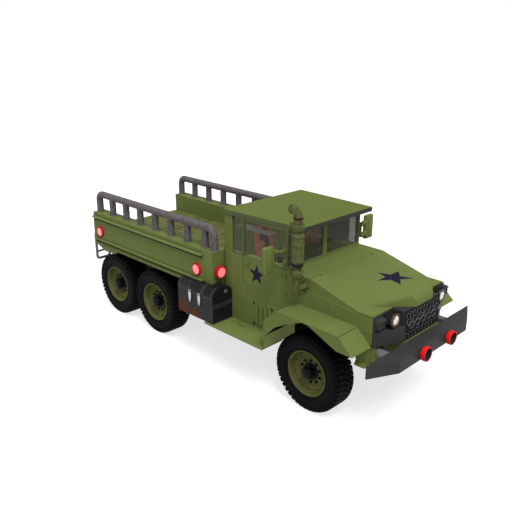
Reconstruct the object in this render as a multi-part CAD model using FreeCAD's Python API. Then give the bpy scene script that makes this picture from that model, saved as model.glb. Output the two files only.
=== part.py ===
"""Six-wheel cargo truck: every piece of the vehicle at its real size, one STEP file per piece.

Frame: +X forward, +Y to the driver's left, +Z up, millimetres. The origin lies on the ground,
midway along the overall length and on the centre line.
"""
import FreeCAD
import Part
import math
import os

V = FreeCAD.Vector

# ---------------------------------------------------------------- driving dimensions
OVERALL_LENGTH = 6764.0      # towing rings to the foot of the rear ladder
FRONT_END = OVERALL_LENGTH / 2
REAR_END = -OVERALL_LENGTH / 2

# wheels and axles
TYRE_R = 570.0
TYRE_WIDTH = 359.0
TYRE_OUTER_Y = 1077.0        # outer side wall
RIM_R = 318.0                # seat of the tyre on the rim
FLANGE_R = 333.0
FLANGE_WIDTH = 12.0
BEAD_INSET = 22.0            # tyre's side wall to the inner face of the rim's flange
FRONT_AXLE_X = 2000.0
BOGIE_X = -2032.0            # midway between the two rear axles
BOGIE_SPACING = 1170.0
WHEEL_Y = TYRE_OUTER_Y - TYRE_WIDTH / 2
KINGPIN_Y = 770.0
SPINDLE_R = 45.0
RUNNING_GAP = 0.05           # radial clearance of a turning fit
BODY_GAP = 5.5               # least clearance between a moving piece and its neighbour
HINGE_GAP = 1.5              # between a hinge's barrel and the faces beside it
END_PLAY = 0.3               # along a hinge or kingpin

# chassis frame
RAIL_OUTER_Y = 430.0
RAIL_WIDTH = 75.0
RAIL_TOP = 1200.0
RAIL_DEPTH = 190.0
RAIL_WALL = 9.0

# bumper and rings
RING_REACH = 84.0            # ring with its boss, from the bumper's face
RING_LENGTH = 60.0
RING_R = 98.0
RING_BORE_R = 84.0
RING_PLATE = 8.0             # closes the ring's rear
RING_BOSS_R = 70.0
RING_Y = 320.0
RING_Z = 1108.0
BUMPER_DEPTH = 211.0
BUMPER_HALF = 1268.0
BUMPER_FACE_HALF = 843.0
BUMPER_TOP = 1206.0
BUMPER_BOTTOM = 1013.0
BUMPER_FRONT = FRONT_END - RING_REACH
BUMPER_BACK = BUMPER_FRONT - BUMPER_DEPTH

# four holes for a hitch in the rear cross-member
HITCH_SPACING_Y = 120.0
HITCH_SPACING_Z = 80.0
HITCH_HOLE_R = 9.0
HITCH_Z = 1100.0

# cab
CAB_HALF = 846.0
CAB_REAR = 150.0
CAB_WALL = 40.0
CAB_BOTTOM = 790.0
FLOOR_TOP = 1380.0
FLOOR_THICK = 30.0
DOOR_REAR = 540.0
DOOR_FRONT = 1407.0
DOOR_BOTTOM = 1422.0
DOOR_GAP = 6.0
SILL_Z = 1858.0
PILLAR_FRONT = 315.0         # front edge of the solid rear quarter
SCREEN_X = 1400.0            # outer face of the windscreen frame
FRAME_BAR = 36.0
ROOF_BOTTOM = 2440.0
ROOF_TOP = 2508.0
ROOF_FRONT = 1645.0
ROOF_FRONT_HALF = 791.0
ROOF_REAR_HALF = 873.0
GLASS_THICK = 6.0
COWL_FRONT = 1836.0
COWL_THICK = 15.0

# engine bay
HOOD_FLAT_Z = 1852.0         # level middle panel, in line with the cowl
HOOD_FLAT_REAR_Y = 630.0     # its half width at the rear
HOOD_FLAT_FRONT_Y = 232.0    # and where the nose starts to roll down
HOOD_ROLL_X = 2895.0
HOOD_EDGE_FRONT_Z = 1636.0   # side strips fall from the cowl to this height
HOOD_KNEE_X = 2633.0
HOOD_FRONT_X = 2868.0
HOOD_CREASE_Y = 640.0
NOSE_X = 3078.0
NOSE_REAR_Y = 424.0
NOSE_FRONT_Y = 205.0
NOSE_LIP_Z = 1636.0
SHEET = 20.0
SIDE_BOTTOM = 1242.0
GRILLE_X = 3085.0
GRILLE_HALF = 412.0
GRILLE_BOTTOM = 1217.0
GRILLE_TOP = 1628.0
VALANCE_TOP = 1215.0

# fenders and boards
FENDER_HALF = 1248.0
FENDER_SHEET = 12.0
BOARD_TOP = 788.0
BOARD_THICK = 26.0
BOARD_HALF = 1275.0
BOARD_FRONT = 1355.0
BOARD_REAR = 120.0

# cargo bed
BED_FRONT = 110.0
BED_REAR = -3227.0
BED_HALF = 1077.0
BED_TOP = 1852.0
BED_BOTTOM = 1223.0
BED_WALL = 238.0
HEADBOARD = 120.0
BED_FLOOR_TOP = 1520.0
BED_FLOOR_THICK = 40.0
RAIL_TUBE_R = 61.0
RAIL_TUBE_Z = 2181.0
RAIL_TUBE_Y = 960.0

# chest
CHEST_FRONT = 298.0
CHEST_REAR = -533.0
CHEST_OUTER = 1250.0
CHEST_INNER = CAB_HALF + 4
CHEST_SEAM_Z = 1203.0
CHEST_WALL = 8.0
LID_HINGE_Y = 1088.0         # hinge line along the crown of the barrel top
LID_HINGE_Z = 1338.0
LID_TOP = 1345.0

# exhaust
STACK_X = 1725.0
STACK_Y = -982.0
STACK_R = 66.0
MUFFLER_R = 98.0


# ---------------------------------------------------------------- helpers
def box(x0, x1, y0, y1, z0, z1):
    """Block between two corners, given in any order."""
    xs, ys, zs = sorted((x0, x1)), sorted((y0, y1)), sorted((z0, z1))
    return Part.makeBox(xs[1] - xs[0], ys[1] - ys[0], zs[1] - zs[0], V(xs[0], ys[0], zs[0]))


def rod(p, q, radius):
    """Round bar from p to q."""
    start, end = V(*p), V(*q)
    return Part.makeCylinder(radius, (end - start).Length, start, end - start)


def prism(points, direction):
    """Solid swept from a closed outline of 3-D points along a vector."""
    corners = [V(*p) for p in points]
    return Part.Face(Part.makePolygon(corners + corners[:1])).extrude(V(*direction))


def slab_xz(points, y0, y1):
    """Side-view outline (x, z) made solid from y0 to y1."""
    return prism([(x, y0, z) for x, z in points], (0, y1 - y0, 0))


def slab_yz(points, x0, x1):
    """End-view outline (y, z) made solid from x0 to x1."""
    return prism([(x0, y, z) for y, z in points], (x1 - x0, 0, 0))


def slab_xy(points, z0, z1):
    """Plan outline (x, y) made solid from z0 to z1."""
    return prism([(x, y, z0) for x, y in points], (0, 0, z1 - z0))


def turned(profile, axis_point, axis=(0, 1, 0)):
    """Solid of revolution; profile is (distance along the axis, radius)."""
    base = V(*axis_point)
    along = V(*axis)
    out = V(0, 0, 1) if abs(along.z) < 0.5 else V(1, 0, 0)
    corners = [base + along * a + out * r for a, r in profile]
    return Part.Face(Part.makePolygon(corners + corners[:1])).revolve(base, along, 360)


def fuse(shapes):
    """One solid from several that touch."""
    result = shapes[0].multiFuse(shapes[1:]) if len(shapes) > 1 else shapes[0]
    return result.removeSplitter()


def mirrored(shape):
    """The same piece on the other side of the centre line."""
    return shape.mirror(V(0, 0, 0), V(0, 1, 0))


def both_sides(shape):
    """A pair of like pieces as one compound."""
    return Part.makeCompound([shape, mirrored(shape)])


def bent_tube(points, bend, radius):
    """Round bar along straight runs joined by tangent arcs of one radius."""
    edges = []
    corners = [V(*p) for p in points]
    start = corners[0]
    for before, corner, after in zip(corners, corners[1:], corners[2:]):
        back = (before - corner).normalize()
        ahead = (after - corner).normalize()
        half = back.getAngle(ahead) / 2
        trim = bend / math.tan(half)
        enter, leave = corner + back * trim, corner + ahead * trim
        centre = corner + (back + ahead).normalize() * (bend / math.sin(half))
        middle = centre + (corner - centre).normalize() * bend
        edges += [Part.LineSegment(start, enter).toShape(), Part.Arc(enter, middle, leave).toShape()]
        start = leave
    edges.append(Part.LineSegment(start, corners[-1]).toShape())
    path = Part.Wire(edges)
    ring = Part.Wire(Part.makeCircle(radius, corners[0], corners[1] - corners[0]))
    return path.makePipeShell([ring], True, True)


def bar(p, q, width, thick, across):
    """Flat bar from p to q; its width lies along the vector across."""
    start, end, wide = V(*p), V(*q), V(*across).normalize()
    side = (end - start).cross(wide).normalize() * (thick / 2)
    half = wide * (width / 2)
    corners = [start - half - side, start + half - side, start + half + side, start - half + side]
    return Part.Face(Part.makePolygon(corners + corners[:1])).extrude(end - start)


def hinge(centre, axis, radius, fixed_foot, moving_foot):
    """One hinge: (fixed pin with two knuckles and their feet, moving barrel with its foot)."""
    c, a = V(*centre), V(*axis).normalize()
    barrel, knuckle, pin_r = 32.0, 14.0, radius * 0.5
    half = barrel / 2
    fixed = [Part.makeCylinder(pin_r, barrel + 2 * knuckle, c - a * (half + knuckle), a)]
    for start in (-half - knuckle, half):
        fixed.append(Part.makeCylinder(radius, knuckle, c + a * start, a))
        middle = c + a * (start + knuckle / 2)
        shift = a * (start + knuckle / 2)
        fixed.append(bar(tuple(middle), tuple(V(*fixed_foot) + shift), knuckle, 5, tuple(a)))
    moving = Part.makeCylinder(radius, barrel - 2 * END_PLAY, c - a * (half - END_PLAY), a)
    moving = moving.fuse(bar(centre, moving_foot, barrel - 2 * END_PLAY, 5, axis))
    bore = Part.makeCylinder(pin_r + RUNNING_GAP, barrel + 2, c - a * (half + 1), a)
    return fuse(fixed), moving.cut(bore)


PARTS = {}


def add(name, shape):
    """Keep a finished piece under its node name."""
    PARTS[name] = shape


# ---------------------------------------------------------------- chassis
REAR_AXLES = {"mid": BOGIE_X + BOGIE_SPACING / 2, "rear": BOGIE_X - BOGIE_SPACING / 2}
AXLE_TUBE_R = 58.0
CASE_TOP = 1050.0            # transfer case, which hangs from a cross-member
NOSE_LENGTH = 250.0          # axle centre to the shaft flange
SPRING_Y = 388.0
SPRING_WIDTH = 64.0


def chassis_frame():
    """Two channel rails with their cross-members, spring hangers and the bumper tubes."""
    inner = RAIL_OUTER_Y - RAIL_WIDTH
    bottom = RAIL_TOP - RAIL_DEPTH
    rear = BED_REAR + 60
    front = BUMPER_BACK
    channel = [(RAIL_OUTER_Y, bottom), (RAIL_OUTER_Y, RAIL_TOP), (inner, RAIL_TOP),
               (inner, RAIL_TOP - RAIL_WALL),
               (RAIL_OUTER_Y - RAIL_WALL, RAIL_TOP - RAIL_WALL),
               (RAIL_OUTER_Y - RAIL_WALL, bottom + RAIL_WALL),
               (inner, bottom + RAIL_WALL), (inner, bottom)]
    pieces = [slab_yz(channel, rear, front), slab_yz([(-y, z) for y, z in channel], rear, front)]
    reach = RAIL_OUTER_Y - RAIL_WALL
    # cross-member: x, width, top, bottom
    for x, width, top, low in ((2960, 90, 1120, 1030), (425, 120, 1170, CASE_TOP), (-250, 80, 1170, 1040),
                               (-1300, 80, 1170, 1040), (BOGIE_X, 160, 1170, 1020),
                               (-2740, 80, 1170, 1040),
                               (rear + 40, 80, RAIL_TOP - RAIL_WALL, bottom + RAIL_WALL)):
        pieces.append(box(x - width / 2, x + width / 2, -reach, reach, low, top))
    # outriggers that carry the cab sides and the bumper tubes
    for x in (330, 1250):
        pieces.append(box(x - 30, x + 30, -CAB_HALF + CAB_WALL, CAB_HALF - CAB_WALL, RAIL_TOP,
                          RAIL_TOP + 40))
    for side in (-1, 1):
        y0 = side * (SPRING_Y - SPRING_WIDTH / 2)
        y1 = side * (SPRING_Y + SPRING_WIDTH / 2)
        for x in (FRONT_AXLE_X - 560, FRONT_AXLE_X + 560):
            pieces.append(box(x - 45, x + 45, y0, y1, 930, bottom))
        pieces.append(box(BOGIE_X - 110, BOGIE_X + 110, y0, y1, 905, bottom))
        pieces.append(rod((BUMPER_BACK, side * 640, 1110), (2860, side * 640, 1110), 44))
        pieces.append(box(2820, 2862, side * 690, side * reach, 1060, 1160))
    frame = fuse(pieces)
    for y in (-HITCH_SPACING_Y / 2, HITCH_SPACING_Y / 2):
        for z in (HITCH_Z - HITCH_SPACING_Z / 2, HITCH_Z + HITCH_SPACING_Z / 2):
            frame = frame.cut(rod((rear - 1, y, z), (rear + 81, y, z), HITCH_HOLE_R))
    return frame


def leaf_springs():
    """Four leaf packs: the front pair sags to its axle, the rear pair arches over the bogie."""
    y0 = SPRING_Y - SPRING_WIDTH / 2
    y1 = SPRING_Y + SPRING_WIDTH / 2
    packs = []
    # centre x, half span, height at the ends, height at the middle, pack thickness
    for x, span, end_z, mid_z, thick in ((FRONT_AXLE_X, 590, 880, 690, 50), (BOGIE_X, 640, 690, 835, 70)):
        top = Part.Arc(V(x - span, y0, end_z + thick), V(x, y0, mid_z + thick),
                       V(x + span, y0, end_z + thick))
        low = Part.Arc(V(x + span, y0, end_z), V(x, y0, mid_z), V(x - span, y0, end_z))
        edges = [top.toShape(), Part.LineSegment(V(x + span, y0, end_z + thick),
                                                 V(x + span, y0, end_z)).toShape(),
                 low.toShape(), Part.LineSegment(V(x - span, y0, end_z),
                                                 V(x - span, y0, end_z + thick)).toShape()]
        pack = Part.Face(Part.Wire(edges)).extrude(V(0, y1 - y0, 0))
        packs += [pack, mirrored(pack)]
    return Part.makeCompound(packs)


FORK_HALF = 128.0            # half height of the knuckle's fork
FORK_ARM = 48.0
KINGPIN_R = 30.0
EYE_R = 58.0
HUB_INNER_Y = 868.0          # inner end of a wheel's hub
HUB_OUTER_Y = 1010.0
DIFF_Y = 130.0               # the front differential sits to the left


def front_axle():
    """Beam with its differential housing, spring pads and the two kingpin eyes."""
    eye_z = FORK_HALF - FORK_ARM - END_PLAY
    pieces = [rod((FRONT_AXLE_X, -KINGPIN_Y, TYRE_R), (FRONT_AXLE_X, KINGPIN_Y, TYRE_R), 50),
              Part.makeSphere(165, V(FRONT_AXLE_X, DIFF_Y, TYRE_R)),
              rod((FRONT_AXLE_X - NOSE_LENGTH - 10, DIFF_Y, TYRE_R), (FRONT_AXLE_X, DIFF_Y, TYRE_R), 62)]
    for side in (-1, 1):
        pieces.append(rod((FRONT_AXLE_X, side * KINGPIN_Y, TYRE_R - eye_z),
                          (FRONT_AXLE_X, side * KINGPIN_Y, TYRE_R + eye_z), EYE_R))
        pieces.append(box(FRONT_AXLE_X - 70, FRONT_AXLE_X + 70, side * (SPRING_Y - 40),
                          side * (SPRING_Y + 40),
                          TYRE_R, 690))
    beam = fuse(pieces)
    for side in (-1, 1):
        pin = rod((FRONT_AXLE_X, side * KINGPIN_Y, TYRE_R - 200),
                  (FRONT_AXLE_X, side * KINGPIN_Y, TYRE_R + 200),
                  KINGPIN_R + RUNNING_GAP)
        beam = beam.cut(pin)
    return beam


def knuckle(side):
    """Fork, kingpin and spindle of one steered wheel."""
    x, y, z = FRONT_AXLE_X, side * KINGPIN_Y, TYRE_R
    back_y = side * (KINGPIN_Y + EYE_R + 8)
    plate_y = back_y + side * 24
    pieces = [rod((x, y, z - FORK_HALF), (x, y, z + FORK_HALF), KINGPIN_R),
              box(x - 60, x + 60, back_y, plate_y, z - FORK_HALF, z + FORK_HALF),
              rod((x, plate_y, z), (x, side * (HUB_OUTER_Y - 20), z), SPINDLE_R)]
    for low in (z - FORK_HALF, z + FORK_HALF - FORK_ARM):
        pieces.append(rod((x, y, low), (x, y, low + FORK_ARM), EYE_R))
        pieces.append(box(x - 50, x + 50, y, plate_y, low, low + FORK_ARM))
    return fuse(pieces)


def rear_axle(x):
    """Driven rear axle: tube, differential housing, spring seats and two spindles."""
    shoulder = HUB_INNER_Y - BODY_GAP
    pieces = [rod((x, -shoulder, TYRE_R), (x, shoulder, TYRE_R), AXLE_TUBE_R),
              Part.makeSphere(175, V(x, 0, TYRE_R)),
              rod((x, 0, TYRE_R), (x + NOSE_LENGTH, 0, TYRE_R), 62),
              rod((x, -HUB_OUTER_Y + 20, TYRE_R), (x, HUB_OUTER_Y - 20, TYRE_R), SPINDLE_R)]
    for side in (-1, 1):
        pieces.append(box(x - 60, x + 60, side * (SPRING_Y - 45), side * (SPRING_Y + 45), TYRE_R, 690))
    return fuse(pieces)


def tyre(x, side):
    """Tyre body; the tread blocks stand on it later."""
    half = TYRE_WIDTH / 2
    bead = half - BEAD_INSET
    right = [(bead, RIM_R), (bead, FLANGE_R), (bead + FLANGE_WIDTH, FLANGE_R), (half, 450),
             (half - 6, TYRE_R - 45),
             (half - 30, TYRE_R - 8), (half - 60, TYRE_R)]
    profile = right + [(-a, r) for a, r in reversed(right)]
    return turned(profile, (x, side * WHEEL_Y, TYRE_R))


def rim(x, side):
    """Rim with its flanges, dished disc, hub and cap, bored for the spindle."""
    half = TYRE_WIDTH / 2 - BEAD_INSET
    wall = 14.0
    inner = RIM_R - wall
    disc = 62.0              # distance of the disc's outer face from the wheel's middle plane
    hub_in = HUB_INNER_Y - WHEEL_Y
    cap = TYRE_OUTER_Y + 8 - WHEEL_Y
    bore = SPINDLE_R + RUNNING_GAP
    bore_end = HUB_OUTER_Y - WHEEL_Y
    profile = [(-half, RIM_R), (-half, FLANGE_R), (-half - FLANGE_WIDTH, FLANGE_R),
               (-half - FLANGE_WIDTH, inner), (disc - 16, inner),
               (disc - 16, 120), (hub_in, 120), (hub_in, bore), (bore_end, bore), (bore_end, 0), (cap, 0),
               (cap, 84),
               (disc + 20, 96), (disc, 112), (disc, inner - 70), (disc + 26, inner - 40),
               (disc + 26, inner),
               (half + FLANGE_WIDTH, inner), (half + FLANGE_WIDTH, FLANGE_R), (half, FLANGE_R),
               (half, RIM_R)]
    return turned([(a * side, r) for a, r in profile], (x, side * WHEEL_Y, TYRE_R))


ENGINE_REAR = 1930.0


def engine():
    """The engine as one plain block with a mount on each side that rests against the rails."""
    web = RAIL_OUTER_Y - RAIL_WALL
    mounts = [box(x - 45, x + 45, -web, web, 1060, 1120) for x in (2080, 2640)]
    return fuse([box(ENGINE_REAR, 2830, -290, 290, 880, 1560)] + mounts)


def driveline():
    """Gearbox, transfer case and the propeller shafts."""
    mid_nose = (REAR_AXLES["mid"] + NOSE_LENGTH, 0, TYRE_R)
    rear_nose = (REAR_AXLES["rear"] + NOSE_LENGTH, 0, TYRE_R)
    case_rear = (150, 0, 880)
    train = fuse([box(1180, ENGINE_REAR, -170, 170, 900, 1180), rod((1180, 0, 940), (700, 0, 940), 45),
                  box(150, 700, -210, 170, 780, CASE_TOP),
                  rod((700, DIFF_Y, 860), (FRONT_AXLE_X - NOSE_LENGTH - 10, DIFF_Y, TYRE_R), 36),
                  rod(case_rear, mid_nose, 42)])
    link = rod((REAR_AXLES["mid"] - 100, 0, TYRE_R), rear_nose, 36)
    train = train.cut(front_axle()).cut(rear_axle(REAR_AXLES["mid"]))
    return Part.makeCompound([train, link.cut(rear_axle(REAR_AXLES["mid"]))])


def bumper():
    """Heavy beam with swept-back ends."""
    plan = [(BUMPER_BACK, -BUMPER_HALF), (BUMPER_FRONT, -BUMPER_FACE_HALF),
            (BUMPER_FRONT, BUMPER_FACE_HALF),
            (BUMPER_BACK, BUMPER_HALF)]
    return slab_xy(plan, BUMPER_BOTTOM, BUMPER_TOP)


def tow_ring(side):
    """Ring closed at the rear by a plate, on a boss on the bumper's face."""
    rear = FRONT_END - RING_LENGTH
    boss = rod((BUMPER_FRONT, side * RING_Y, RING_Z), (rear, side * RING_Y, RING_Z), RING_BOSS_R)
    tube = rod((rear, side * RING_Y, RING_Z), (FRONT_END, side * RING_Y, RING_Z), RING_R)
    bore = rod((rear + RING_PLATE, side * RING_Y, RING_Z), (FRONT_END + 1, side * RING_Y, RING_Z),
               RING_BORE_R)
    return fuse([boss, tube.cut(bore)])


# ---------------------------------------------------------------- cab
def cab_tub():
    """Floor, lower sides with the wheel-arch cut, toe board and firewall."""
    side_front = COWL_FRONT - 141
    arch = [(CAB_REAR, CAB_BOTTOM), (BOARD_FRONT - 2, CAB_BOTTOM), (BOARD_FRONT - 2, 1005), (1556, 1187),
            (1695, 1260),
            (side_front, SILL_Z - COWL_THICK), (DOOR_FRONT + DOOR_GAP, SILL_Z - COWL_THICK),
            (DOOR_FRONT + DOOR_GAP, DOOR_BOTTOM - DOOR_GAP),
            (DOOR_REAR - DOOR_GAP, DOOR_BOTTOM - DOOR_GAP), (DOOR_REAR - DOOR_GAP, SILL_Z),
            (CAB_REAR, SILL_Z)]
    side = slab_xz(arch, CAB_HALF - CAB_WALL, CAB_HALF)
    reach = CAB_HALF - CAB_WALL
    pieces = [side, mirrored(side),
              box(CAB_REAR, 1420, -reach, reach, FLOOR_TOP - FLOOR_THICK, FLOOR_TOP),
              slab_xz([(1420, FLOOR_TOP), (1420, FLOOR_TOP - FLOOR_THICK),
                       (1470, FLOOR_TOP - FLOOR_THICK), (1660, 1560),
                       (1660, SILL_Z - COWL_THICK), (1630, SILL_Z - COWL_THICK), (1630, 1570)], -reach,
                      reach)]
    pieces += [door_hinge(side, z)[0] for side in (-1, 1) for z in DOOR_HINGES_Z]
    return fuse(pieces)


DOOR_HINGES_Z = (1500.0, 1770.0)
HINGE_R = 9.0
DOOR_AXIS_X = DOOR_FRONT + DOOR_GAP / 2
DOOR_AXIS_Y = CAB_HALF + HINGE_R + HINGE_GAP


def door_hinge(side, z):
    """Hinge of one door at one height."""
    centre = (DOOR_AXIS_X, side * DOOR_AXIS_Y, z)
    inside = side * (CAB_HALF - 8)
    return hinge(centre, (0, 0, 1), HINGE_R, (DOOR_AXIS_X + 34, inside, z), (DOOR_AXIS_X - 34, inside, z))


def cab_back():
    """Rear wall with its window, and the solid rear quarters beside the glass."""
    wall = box(CAB_REAR, CAB_REAR + CAB_WALL, -CAB_HALF, CAB_HALF, SILL_Z, ROOF_BOTTOM)
    lower = box(CAB_REAR, CAB_REAR + CAB_WALL, -CAB_HALF + CAB_WALL, CAB_HALF - CAB_WALL, FLOOR_TOP, SILL_Z)
    quarter = box(CAB_REAR, PILLAR_FRONT, CAB_HALF - CAB_WALL, CAB_HALF, SILL_Z, ROOF_BOTTOM)
    window = box(CAB_REAR - 1, CAB_REAR + CAB_WALL + 1, -REAR_WINDOW_HALF, REAR_WINDOW_HALF,
                 REAR_WINDOW_LOW, REAR_WINDOW_TOP)
    return fuse([wall, lower, quarter, mirrored(quarter)]).cut(window)


REAR_WINDOW_HALF = 420.0
REAR_WINDOW_LOW = 1960.0
REAR_WINDOW_TOP = 2340.0


def cowl():
    """Top panel between the bonnet and the windscreen."""
    outline = [(SCREEN_X, SILL_Z - COWL_THICK), (COWL_FRONT - 142, SILL_Z - COWL_THICK),
               (COWL_FRONT, 1830), (COWL_FRONT, HOOD_FLAT_Z),
               (SCREEN_X, SILL_Z)]
    panel = slab_xz(outline, -CAB_HALF, CAB_HALF)
    cheek = box(COWL_FRONT - 140, COWL_FRONT, CAB_HALF - SHEET, CAB_HALF, SIDE_BOTTOM, 1835)
    pins = [hood_hinge(side)[0] for side in (-1, 1)]
    return fuse([panel, cheek, mirrored(cheek)] + pins)


HOOD_AXIS_X = COWL_FRONT + DOOR_GAP / 2
HOOD_AXIS_Z = HOOD_FLAT_Z + HINGE_R + HINGE_GAP
HOOD_HINGE_Y = 600.0


def hood_hinge(side):
    """Hinge at the rear edge of the bonnet on one side."""
    y = side * HOOD_HINGE_Y
    low = HOOD_FLAT_Z - 8
    return hinge((HOOD_AXIS_X, y, HOOD_AXIS_Z), (0, 1, 0), HINGE_R, (HOOD_AXIS_X - 36, y, low),
                 (HOOD_AXIS_X + 36, y, low))


def windscreen_frame():
    """Frame with a centre post; both panes sit inside it."""
    outer = box(SCREEN_X - FRAME_BAR, SCREEN_X, -CAB_HALF, CAB_HALF, SILL_Z - COWL_THICK, ROOF_BOTTOM)
    panes = []
    for side in (-1, 1):
        panes.append(box(SCREEN_X - FRAME_BAR - 1, SCREEN_X + 1, side * POST_HALF,
                         side * (CAB_HALF - FRAME_BAR),
                         SILL_Z + FRAME_BAR, ROOF_BOTTOM - FRAME_BAR))
    return outer.cut(Part.makeCompound(panes))


POST_HALF = 45.0


def cab_glass():
    """Two windscreen panes, the rear window and the fixed rear quarter lights."""
    mid = SCREEN_X - FRAME_BAR / 2
    panes = []
    for side in (-1, 1):
        panes.append(box(mid - GLASS_THICK / 2, mid + GLASS_THICK / 2, side * POST_HALF,
                         side * (CAB_HALF - FRAME_BAR), SILL_Z + FRAME_BAR, ROOF_BOTTOM - FRAME_BAR))
        panes.append(box(PILLAR_FRONT, DOOR_REAR - DOOR_GAP - 24, side * (CAB_HALF - 23),
                         side * (CAB_HALF - 17),
                         SILL_Z, ROOF_BOTTOM))
    back = CAB_REAR + CAB_WALL / 2
    panes.append(box(back - GLASS_THICK / 2, back + GLASS_THICK / 2, -REAR_WINDOW_HALF, REAR_WINDOW_HALF,
                     REAR_WINDOW_LOW, REAR_WINDOW_TOP))
    return Part.makeCompound(panes)


def roof():
    """Roof slab: it tapers forward and overhangs the windscreen; two rear door posts hang from it."""
    half = CAB_HALF
    lower = [(CAB_REAR, -ROOF_REAR_HALF), (ROOF_FRONT, -ROOF_FRONT_HALF), (ROOF_FRONT, ROOF_FRONT_HALF),
             (CAB_REAR, ROOF_REAR_HALF)]
    slab = slab_xy(lower, ROOF_BOTTOM, ROOF_TOP)
    post = box(DOOR_REAR - DOOR_GAP - 24, DOOR_REAR - DOOR_GAP, half - CAB_WALL, half, SILL_Z, ROOF_BOTTOM)
    return fuse([slab, post, mirrored(post)])


def door(side):
    """Door skin, lower panel and window frame in one thickness, with its window cut."""
    y0, y1 = side * (CAB_HALF - CAB_WALL), side * CAB_HALF
    leaf = box(DOOR_REAR, DOOR_FRONT, y0, y1, DOOR_BOTTOM, SILL_Z)
    frame = box(DOOR_REAR, SCREEN_X - FRAME_BAR - DOOR_GAP, y0, y1, SILL_Z, ROOF_BOTTOM - DOOR_GAP)
    window = box(DOOR_REAR + DOOR_BAR, SCREEN_X - FRAME_BAR - DOOR_GAP - DOOR_BAR, y0 - side, y1 + side,
                 SILL_Z, ROOF_BOTTOM - DOOR_GAP - DOOR_BAR)
    barrels = [door_hinge(side, z)[1] for z in DOOR_HINGES_Z]
    return fuse([leaf.cut(door_corner(side)), frame] + barrels).cut(window)


DOOR_BAR = 22.0


def door_corner(side):
    """Room for the windscreen frame's foot at the top front corner of the door."""
    return box(SCREEN_X - FRAME_BAR - DOOR_GAP, DOOR_FRONT + 1, side * (CAB_HALF - CAB_WALL - 1),
               side * (CAB_HALF + 1), SILL_Z - COWL_THICK - DOOR_GAP, SILL_Z + 1)


def door_glass(side):
    """Window pane of one door."""
    return box(DOOR_REAR + DOOR_BAR, SCREEN_X - FRAME_BAR - DOOR_GAP - DOOR_BAR, side * (CAB_HALF - 23),
               side * (CAB_HALF - 17), SILL_Z, ROOF_BOTTOM - DOOR_GAP - DOOR_BAR)


SEAT_Y = 400.0
SEAT_FRONT = 1060.0


def seat(side):
    """Bucket seat: base, cushion and raked back."""
    y0, y1 = side * SEAT_Y - 235, side * SEAT_Y + 235
    x = SEAT_FRONT
    base = box(x - 430, x - 60, y0 + 60, y1 - 60, FLOOR_TOP, 1620)
    cushion = box(x - 520, x, y0, y1, 1620, 1740)
    back = slab_xz([(x - 520, 1700), (x - 400, 1700), (x - 520, 2290), (x - 620, 2290)], y0, y1)
    return fuse([base, cushion, back])


def dashboard():
    """Instrument shelf across the cab, on the firewall."""
    outline = [(1300, 1690), (1629, 1690), (1629, 1843), (1364, 1843), (1330, 1800), (1300, 1790)]
    half = CAB_HALF - CAB_WALL - BODY_GAP
    return slab_xz(outline, -half, half)


WHEEL_RAKE = math.radians(38)
STEERING_HUB = (1150.0, SEAT_Y, 1960.0)


def steering_wheel():
    """Rim, three spokes and hub, raked towards the driver."""
    ring = Part.makeTorus(205, 14)
    pieces = [ring, Part.makeCylinder(34, 46, V(0, 0, -34))]
    for turn in (90, 210, 330):
        a = math.radians(turn)
        pieces.append(rod((0, 0, -8), (205 * math.cos(a), 205 * math.sin(a), 0), 9))
    wheel = fuse(pieces)
    wheel.rotate(V(0, 0, 0), V(0, 1, 0), -math.degrees(WHEEL_RAKE))
    wheel.translate(V(*STEERING_HUB))
    return wheel


def steering_column():
    """Column from the steering wheel's hub down to the dashboard."""
    hub = V(*STEERING_HUB)
    down = V(math.sin(WHEEL_RAKE), 0, -math.cos(WHEEL_RAKE))
    return Part.makeCylinder(26, 330, hub + down * (34 + END_PLAY), down)


# ---------------------------------------------------------------- engine bay and fenders
def hood_block(top):
    """Solid under the bonnet's outer surface, whose level panel is at the given height."""
    drop = HOOD_FLAT_Z - top
    rear = COWL_FRONT + DOOR_GAP
    low = HOOD_EDGE_FRONT_Z - SHEET - drop
    lip = NOSE_LIP_Z - drop
    edge = HOOD_EDGE_FRONT_Z - drop
    # side strips and what lies under them
    strips = slab_xz([(rear, low), (rear, top), (HOOD_KNEE_X, edge), (HOOD_FRONT_X, edge),
                      (HOOD_FRONT_X, low)],
                     -CAB_HALF, CAB_HALF)
    # raised middle with a rounded nose, seen from the side
    r = NOSE_X - HOOD_ROLL_X
    bend = math.sqrt(0.5)
    outline = [V(rear, -CAB_HALF, lip), V(rear, -CAB_HALF, top), V(HOOD_ROLL_X, -CAB_HALF, top),
               V(NOSE_X, -CAB_HALF, top - r), V(NOSE_X, -CAB_HALF, lip)]
    turn = V(HOOD_ROLL_X + r * bend, -CAB_HALF, top - r + r * bend)
    edges = [Part.LineSegment(outline[0], outline[1]).toShape(),
             Part.LineSegment(outline[1], outline[2]).toShape(),
             Part.Arc(outline[2], turn, outline[3]).toShape(),
             Part.LineSegment(outline[3], outline[4]).toShape(),
             Part.LineSegment(outline[4], outline[0]).toShape()]
    middle = Part.Face(Part.Wire(edges)).extrude(V(0, 2 * CAB_HALF, 0))
    plan = [(rear, -HOOD_CREASE_Y), (HOOD_KNEE_X, -HOOD_CREASE_Y), (HOOD_FRONT_X, -NOSE_REAR_Y),
            (NOSE_X, -NOSE_FRONT_Y), (NOSE_X, NOSE_FRONT_Y), (HOOD_FRONT_X, NOSE_REAR_Y),
            (HOOD_KNEE_X, HOOD_CREASE_Y), (rear, HOOD_CREASE_Y)]
    middle = middle.common(slab_xy(plan, lip - 1, top + 1))
    for side in (-1, 1):
        middle = middle.cut(flank(side, top))
    slanted = [e for e in middle.Edges if nose_edge(e)]
    if slanted:
        middle = middle.makeFillet(NOSE_ROUND, slanted)
    return strips.fuse(middle)


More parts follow.
